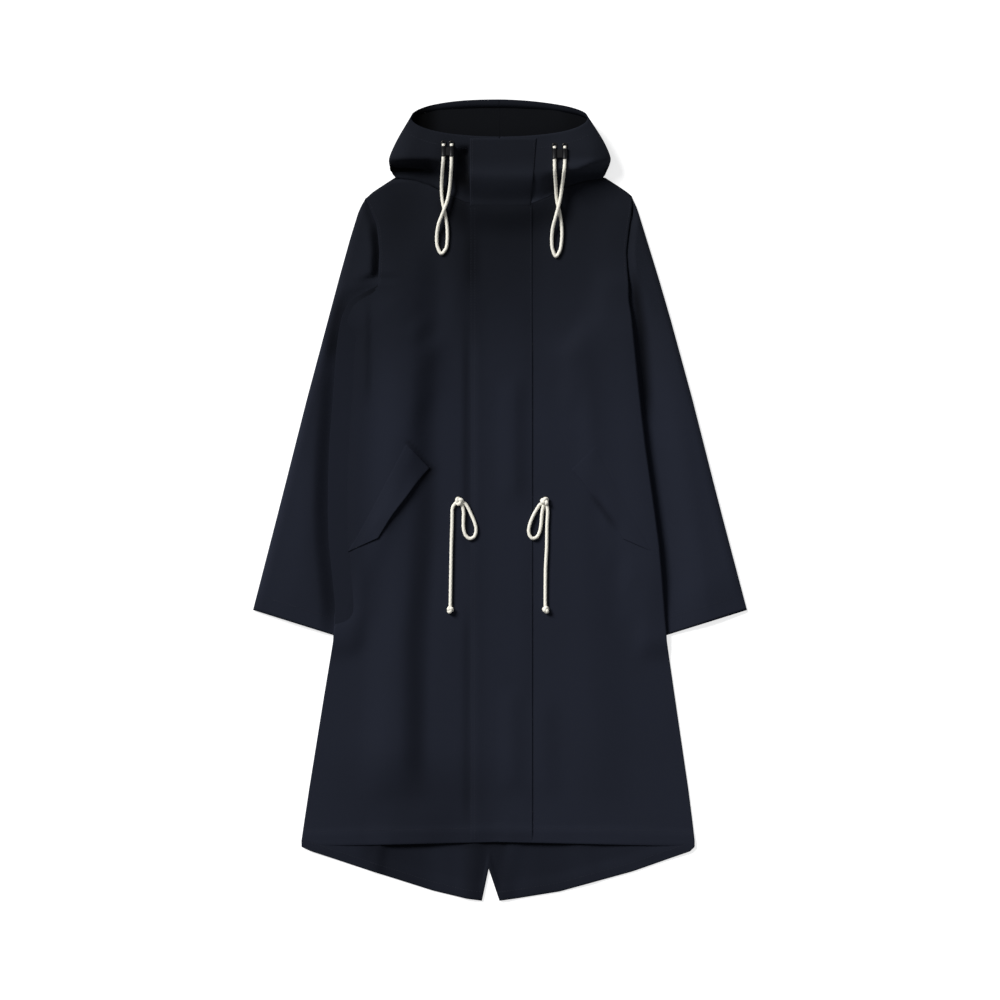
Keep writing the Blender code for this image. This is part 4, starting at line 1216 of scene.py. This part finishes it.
def throat_grid():
    y = np.concatenate([np.linspace(THROAT_TOP, 450, 46), [446.5, 444, 442.2, 440.8, THROAT_FOOT]])
    x = np.concatenate([[0, 0.8, 2, 4], np.linspace(7, 93, 24), [96, 98, 99.2, 100]]) + THROAT[0]
    x, y = np.meshgrid(x, y)
    # the strip grows narrower towards its lower end
    x = x - 8.5 * (x - THROAT[0]) / (THROAT[1] - THROAT[0]) * (MOUTH_FRONT - y) / 100
    over = np.where(np.abs(x) < 44, x, np.clip(x, -43, 55))
    z = laid_grid(over, y, below_throat, 2.5, 3) + 0.3 + ease_in(y, 446, 470)
    free_edge = x[:, -1:]
    edge = np.minimum(np.minimum(x - THROAT[0], free_edge - x), THROAT_TOP - y)
    z = z - tucked(y - THROAT_FOOT)
    z = z - 0.9 * (1 - rounded(edge, 1.8))
    return np.stack([x, y, z], axis=-1)


def throat_shade(x, y):
    """The strip hangs down a steep wall, which the light grazes, and its colour is painted lighter there as
    painted light.
    """
    return 1 + 0.45 * (1 - ease_in(y, 482, 516)) * ease_in(y, 444, 470)


throat = add_sheet("throat_strip", facing_up(throat_grid()), DOUBLE, shell_cloth, throat_shade)
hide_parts("throat_flap")

# %% [markdown]
# ## Pocket flaps
#
# Each flap is a slanted four-sided piece, sewn along its outer edge. The free edge stands off the coat:
# well at the wearer's right, where the photo shows deep shade beside it, and hardly at the left.
# Painted shade on the fronts also darkens the cloth beside the free edges.

# %% Pocket flaps
FLAP_CORNERS = {          # top, tip, lower tip and lower end, as distances out and heights
    "right": ((142, 86), (105, 48), (183, -57), (228, -78)),
    "left": ((143, 84), (106, 46), (184, -58), (229, -78)),
}
FLAP_LIFT = {"right": 4.6, "left": 0.5}


def flap_grid(side):
    top, tip, lower_tip, lower_end = np.array(FLAP_CORNERS[side], float)
    along = np.concatenate([[0, 0.006, 0.015, 0.03], np.linspace(0.05, 0.95, 34), [0.97, 0.985, 0.994, 1]])
    across = np.concatenate([[0, 0.02, 0.05], np.linspace(0.1, 0.88, 14), [0.93, 0.97, 0.99, 1]])
    a, c = np.meshgrid(along, across, indexing="ij")
    sewn = top + a[..., None] * (lower_end - top)
    free = tip + a[..., None] * (lower_tip - tip)
    # the free edge isn't quite straight
    bow = 3.6 * np.sin(math.pi * a) + 1.1 * np.sin(3.4 * math.pi * a) * (1 - a)
    free = free + bow[..., None] * unit(np.array([lower_end[0] - lower_tip[0], 12.0])[None, None, :])
    place = sewn + c[..., None] * (free - sewn)
    x, y = SIDES[side] * place[..., 0], place[..., 1]
    size = np.linalg.norm(free - sewn, axis=-1)
    run = np.linalg.norm(lower_end - top)
    stands = ease_in(c * size, 0, 24)
    z = front_top(x, y) + 0.1 - tucked(c * size)
    if side == "left":
        stands = stands * ease_in(a * run, 0, 40)
        z = z - tucked(a * run)
    z = z + 1.1 * stands
    z = z + FLAP_LIFT[side] * c ** 1.6 * (0.35 + 0.65 * np.sin(math.pi * a) ** 2)
    edge = np.minimum((1 - c) * size, np.minimum(a, 1 - a) * run)
    z = z - 0.5 * (1 - rounded(edge, 1.6))
    return np.stack([x, y, z], axis=-1)


flaps = {side: add_sheet("flap_" + side, facing_up(flap_grid(side)), DOUBLE, shell_cloth, front_shade)
         for side in SIDES}
for side in SIDES:
    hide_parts("pocket_flap_" + side)

# %% [markdown]
# ## Settling the cords, their knots and fittings
#
# The finished cloth has folds that the solids lack, so each cord is laid once more, now on the cloth.
# Each knot is a tube wound on a closed three-leaved curve: an overhand knot with its ends joined.

# %% Cords on the finished cloth
cloth_below = surface_of([*fronts.values(), *hoods.values(), placket, throat, *flaps.values()])
for side in SIDES:
    cord_routes["hood", side] = hood_route(side, cloth_below)
    cord_routes["waist", side] = waist_route(side, cloth_below)
for key, route in cord_routes.items():
    cords[key].data = braid_mesh(cords[key].name, route)
    cords[key].data.materials.append(cord_finish)
    print(cords[key].name, "lies up to", round(route[:, 2].max(), 1), "mm high")

# %% Knots
KNOTTED_CORD = 5.6        # the cord is squeezed thicker in a knot
KNOT_STEPS, KNOT_SIDES = 96, 16


def knot_mesh(name, centre, size, turn):
    """A tight three-leaved knot with its middle at a place, fitted to a size."""
    t = np.arange(KNOT_STEPS) / KNOT_STEPS * math.tau
    line = np.column_stack([np.sin(t) + 2 * np.sin(2 * t), np.cos(t) - 2 * np.cos(2 * t), -np.sin(3 * t)])
    span = line.max(axis=0) - line.min(axis=0)
    line = line / span * (np.array(size) - KNOTTED_CORD)
    line -= (line.max(axis=0) + line.min(axis=0)) / 2
    cos, sin = math.cos(turn), math.sin(turn)
    line = line @ np.array([[cos, sin, 0], [-sin, cos, 0], [0, 0, 1]])
    line = line + np.array(centre)
    ahead = unit(np.roll(line, -1, axis=0) - np.roll(line, 1, axis=0))
    across = unit(np.cross(ahead, [0, 0, 1]))
    over = np.cross(ahead, across)
    angle = np.arange(KNOT_SIDES) / KNOT_SIDES * math.tau
    strands = np.cos(4 * angle[None, :] + np.arange(KNOT_STEPS)[:, None] * 0.5)
    swell = KNOTTED_CORD / 2 * (1 + 0.05 * strands)
    grid = tube_grid(line, swell, across, over)
    grid = np.concatenate([grid, grid[:1]])
    return closed_up(grid_mesh(name, grid, closed=True), joined=True)


KNOTS = {"waist": (WAIST_KNOT, (13.5, 13, 9.5)), "end": (END_KNOT, (10.6, 11.2, 8.8))}
for kind, (places, size) in KNOTS.items():
    for side, sign in SIDES.items():
        x, y = places[side]
        ground = height_on(cloth_below, sign * x, y, 4)
        name = f"{kind}_knot_{side}"
        mesh = knot_mesh(name, (sign * x, y, ground + size[2] / 2 - 0.2), size, sign * 0.4)
        add_piece(name, mesh, cord_finish)
        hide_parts(f"knot_{kind}_{side}")

# %% [markdown]
# ## Toggles and eyelets
#
# A toggle is two short barrels with a web between them. Each barrel is a turned profile with rounded
# lips, so it is spun about its axis. The eyelets are turned the same way about an upright axis.

# %% Toggles and eyelets
BARREL = ((2.85, -7.7), (3.1, -8.0), (3.6, -7.9), (3.9, -7.5), (3.95, -6.7), (3.75, -6.0), (3.75, 6.0),
          (3.95, 6.7), (3.9, 7.5), (3.6, 7.9), (3.1, 8.0), (2.85, 7.7))
EYELET = ((2.7, -1.0), (2.75, 0.2), (3.0, 0.75), (3.45, 1.0), (3.95, 0.8), (4.25, 0.25), (4.2, -0.1),
          (3.4, -0.2))
WEB_LENGTH, WEB_THICKNESS = 12, 3.6


def turned_grid(profile, steps):
    """A closed profile of (radius, height) rows turned about Z, as a grid that closes both ways."""
    angle = np.arange(steps) / steps * math.tau
    rows = [np.column_stack([r * np.cos(angle), r * np.sin(angle), np.full(steps, h)])
            for r, h in (*profile, profile[0])]
    return np.array(rows)


def merged_mesh(name, grids, solids=()):
    built = bmesh.new()
    for grid in grids:
        part = grid_mesh(name + "_part", grid, closed=True)
        built.from_mesh(part)
        bpy.data.meshes.remove(part)
    for matrix in solids:
        bmesh.ops.create_cube(built, size=1, matrix=matrix)
    bmesh.ops.remove_doubles(built, verts=built.verts, dist=1e-6)
    bmesh.ops.recalc_face_normals(built, faces=built.faces)
    mesh = bpy.data.meshes.new(name)
    built.to_mesh(mesh)
    built.free()
    mesh.shade_smooth()
    mesh.set_sharp_from_angle(angle=math.radians(50))
    return mesh


eyelets = {}
for side, sign in SIDES.items():
    x, y = TOGGLE_PLACE[side]
    axis = toggle_axis[side]
    strands = [HOOD_LOOP[side][0][0], HOOD_LOOP[side][-1][0]]
    barrel = turned_grid(BARREL, 40)[..., [0, 2, 1]] * [1, 1, -1]
    grids = [barrel + np.array([sign * strand, y, axis]) for strand in strands]
    web_width = abs(strands[0] - strands[1]) * 0.5
    web = Matrix.Translation(Vector((sign * x, y, axis)) * MM)
    web = web @ Matrix.Diagonal((web_width * MM, WEB_LENGTH * MM, WEB_THICKNESS * MM, 1))
    toggle_mesh = merged_mesh("toggle_" + side + "_mesh", grids, [web])
    add_piece("toggle_barrels_" + side, toggle_mesh, plastic_finish)
    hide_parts("toggle_" + side)
    for place, strand in (("outer", strands[0]), ("inner", strands[1])):
        eyelets["hood", side, place] = (sign * strand, y + EYELET_LIFT, f"eyelet_hood_{side}_{place}")
    eyelets["waist", side, "only"] = (sign * WAIST_EYELET[side][0], WAIST_EYELET[side][1],
                                      f"eyelet_waist_{side}")
for key, (x, y, node) in eyelets.items():
    ground = height_on(cloth_below, x, y, 3.6)
    grid = turned_grid(EYELET, 36) + np.array([x, y, ground + 0.2])
    name = "ring_" + "_".join(key)
    piece = add_piece(name, merged_mesh(name + "_mesh", [grid]), brass_finish)
    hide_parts(node)

# %% [markdown]
# ## Stitches
#
# A row of stitches is what Geometry Nodes are good at: a line is resampled at the stitch length, a small
# thread is set on each point along the line, and the result is made real. The lines are given as plain
# edges that already lie on the cloth.

# %% Stitch tree
STITCH_LENGTH = 3.2
STITCH_GAP = 0.9
THREAD_WIDTH = 0.55
THREAD_SIDES = 6


def stitch_tree(thread_piece, finish):
    tree = bpy.data.node_groups.new("stitches", "GeometryNodeTree")
    face = tree.interface
    face.new_socket("Geometry", in_out="INPUT", socket_type="NodeSocketGeometry")
    pitch = face.new_socket("Stitch pitch", in_out="INPUT", socket_type="NodeSocketFloat")
    face.new_socket("Geometry", in_out="OUTPUT", socket_type="NodeSocketGeometry")
    start = node_of(tree, "NodeGroupInput")
    end = node_of(tree, "NodeGroupOutput")
    to_curve = node_of(tree, "GeometryNodeMeshToCurve")
    resample = node_of(tree, "GeometryNodeResampleCurve", mode="LENGTH")
    points = node_of(tree, "GeometryNodeCurveToPoints", mode="EVALUATED")
    thread = node_of(tree, "GeometryNodeObjectInfo", {"Object": thread_piece})
    instances = node_of(tree, "GeometryNodeInstanceOnPoints")
    align = node_of(tree, "FunctionNodeAlignRotationToVector", axis="X", pivot_axis="AUTO")
    real = node_of(tree, "GeometryNodeRealizeInstances")
    dress = node_of(tree, "GeometryNodeSetMaterial", {"Material": finish})
    wire(tree,
         (start, "Geometry", to_curve, "Mesh"), (to_curve, "Curve", resample, "Curve"),
         (start, "Stitch pitch", resample, "Length"), (resample, "Curve", points, "Curve"),
         (points, "Points", instances, "Points"), (points, "Tangent", align, "Vector"),
         (align, "Rotation", instances, "Rotation"), (thread, "Geometry", instances, "Instance"),
         (instances, "Instances", real, "Geometry"), (real, "Geometry", dress, "Geometry"),
         (dress, "Geometry", end, "Geometry"))
    return tree, pitch.identifier


def thread_grid():
    """One stitch: a low rounded thread that dives into the cloth at both ends."""
    t = np.linspace(-1, 1, 7)
    angle = np.arange(THREAD_SIDES) / THREAD_SIDES * math.tau
    x = t * STITCH_LENGTH / 2
    drop = -0.35 * np.abs(t) ** 3
    width = THREAD_WIDTH / 2 * np.sqrt(np.clip(1.05 - t ** 4, 0.05, 1))
    rows = [np.column_stack([np.full(THREAD_SIDES, a), w * np.cos(angle), w * 0.8 * np.sin(angle) + d])
            for a, w, d in zip(x, width, drop)]
    return np.array(rows)


thread_mesh = closed_up(grid_mesh("one_stitch", thread_grid(), closed=True))
one_stitch = bpy.data.objects.new("one_stitch", thread_mesh)
tree, pitch_socket = stitch_tree(one_stitch, thread_finish)
print("one stitch", len(thread_mesh.polygons), "faces")

# %% Where the stitches run
HEM_DEPTH, CUFF_DEPTH, RIM_DEPTH, TAIL_DEPTH = 21, 24, 19, 12      # how deep each hem is turned up
UP_SLEEVE = np.array([-0.298, 0.954])


def row_on(surface, places, above=0.1):
    """A line of (x, y) places in millimetres, laid on the cloth."""
    fine = curve_through(places, 3.0)
    return np.array([(x, y, height_on(surface, x, y, 0.0) + above) for x, y in fine])


sewn_on = surface_of([*fronts.values(), back, *sleeves.values(), *hoods.values(), placket, throat,
                      *flaps.values()])
stitch_lines = []
for x in (PLACKET[0] + 2.5, PLACKET[0] + 8.5, PLACKET[1] - 3.0):
    stitch_lines.append([(x, y) for y in np.linspace(436, -508, 24)])
for side, sign in SIDES.items():
    hem_x = np.linspace(52 if side == "left" else 48, 284, 12)
    stitch_lines.append([(sign * x, float(front_hem(x)) + HEM_DEPTH) for x in hem_x])
    cuff_line = [CUFF_OUTER + CUFF_DIRECTION * run + UP_SLEEVE * CUFF_DEPTH
                 for run in np.linspace(14, 112, 8)]
    stitch_lines.append([(sign * x, y) for x, y in cuff_line])
    stitch_lines.append([(sign * (float(body_reach(side, y)) - 4.5), y) for y in np.linspace(446, 330, 10)])
    rim_reach = sign * float(hood_reach(side, 560))
    stitch_lines.append([(share * rim_reach, rim_height(side, share, False) - RIM_DEPTH)
                         for share in np.linspace(0.36, 0.93, 14)])
for x in (THROAT[0] + 4, THROAT[1] - 4):
    stitch_lines.append([(x, y) for y in np.linspace(538, 448, 8)])
for start, end in ((-280, -30), (0, 276)):
    tail_x = np.linspace(start, end, 14)
    stitch_lines.append([(x, float(read(TAIL_EDGE, x)) + TAIL_DEPTH) for x in tail_x])

points, edges = [], []
for line in stitch_lines:
    row = row_on(sewn_on, line) * MM
    edges += [(len(points) + index, len(points) + index + 1) for index in range(len(row) - 1)]
    points += row.tolist()
lines_mesh = bpy.data.meshes.new("stitch_lines")
lines_mesh.from_pydata(points, edges, [])
lines = put_in_scene("stitch_lines", lines_mesh)
sewing = lines.modifiers.new("stitches", "NODES")
sewing.node_group = tree
sewing[pitch_socket] = (STITCH_LENGTH + STITCH_GAP) * MM
bpy.context.view_layer.update()
made_real = bpy.data.meshes.new_from_object(lines.evaluated_get(bpy.context.evaluated_depsgraph_get()))
bpy.data.objects.remove(lines)
made_real.name = "topstitching"
stitching = put_in_scene("topstitching", made_real)
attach(stitching, "root")
print("stitches", len(made_real.polygons) // max(1, len(thread_mesh.polygons)),
      "faces", len(made_real.polygons))

# %% [markdown]
# ## Table and light
#
# The coat lies on a plain white table. The main light is broad and comes from above the wearer's right
# shoulder, low enough to model the folds; the white room fills the rest. The table gives light itself,
# as a tabletop of translucent acrylic with lamps below it does, so that shadows on it stay pale.

# %% Table
TABLE_HALF = 6.0          # metres from its middle to its edge
TABLE_DROP = 0.0004       # just below the cloth that lies on it
TABLE_GLOW = 0.72
table_corners = [(x * TABLE_HALF, y * TABLE_HALF, 0) for x, y in ((-1, -1), (1, -1), (1, 1), (-1, 1))]
floor_mesh = bpy.data.meshes.new("table")
floor_mesh.from_pydata(table_corners, [], [(0, 1, 2, 3)])
table = put_in_scene("table", floor_mesh)
table.location.z = -TABLE_DROP
white, _, white_shader = new_finish("white acrylic", 0.9, 0.1)
white_shader.inputs["Base Color"].default_value = (0.55, 0.55, 0.55, 1)
white_shader.inputs["Emission Color"].default_value = (1, 1, 1, 1)
white_shader.inputs["Emission Strength"].default_value = TABLE_GLOW
floor_mesh.materials.append(white)

# %% Light
SUN_DIRECTION = Vector((-0.60, 0.55, 0.58))
SUN_STRENGTH, SUN_SPREAD = 4.2, 22        # the spread is in degrees
ROOM_COLOR, ROOM_STRENGTH = (0.95, 0.97, 1.0, 1), 0.23
sun_data = bpy.data.lights.new("window", "SUN")
sun_data.energy = SUN_STRENGTH
sun_data.angle = math.radians(SUN_SPREAD)
sun = put_in_scene("window", sun_data)
sun.rotation_euler = SUN_DIRECTION.to_track_quat("Z", "Y").to_euler()
world = bpy.data.worlds.new("studio")
world.use_nodes = True
world.node_tree.nodes["Background"].inputs["Color"].default_value = ROOM_COLOR
world.node_tree.nodes["Background"].inputs["Strength"].default_value = ROOM_STRENGTH
bpy.context.scene.world = world
bpy.context.scene.view_settings.view_transform = "Standard"
print("sun from", tuple(round(v, 2) for v in SUN_DIRECTION.normalized()))

# %% [markdown]
# ## What the soft pieces are
#
# Every cord's length is printed, and outlines of the fronts and of the back are listed.


def run_length(route):
    return float(np.linalg.norm(np.diff(route, axis=0), axis=1).sum()) * MM


for side in SIDES:
    route = cord_routes["hood", side]
    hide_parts("cord_hood_" + side)
    route = cord_routes["waist", side]
    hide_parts("cord_waist_loop_" + side, "cord_waist_tail_" + side)
    print(side, "hood cord", round(run_length(cord_routes["hood", side]), 3),
          "waist cord", round(run_length(route), 3))


for side in SIDES:
    outline = [(0, 443), (50, 446), (100, 470), (157, 483), (SHOULDER_REACH, SHOULDER)]
    outline += [(float(body_reach(side, y)), y) for y in np.arange(440, -519, -20)]
    outline += [(float(body_reach(side, -518)), -519), (0, -512)]
outline = [(float(body_reach("left", y)), y) for y in np.arange(450, -519, -20)]
outline += TAIL_EDGE[::-1]
outline += [(-float(body_reach("right", y)), y) for y in np.arange(-519, 451, 20)]
outline += [(-157, 484), (157, 484)]
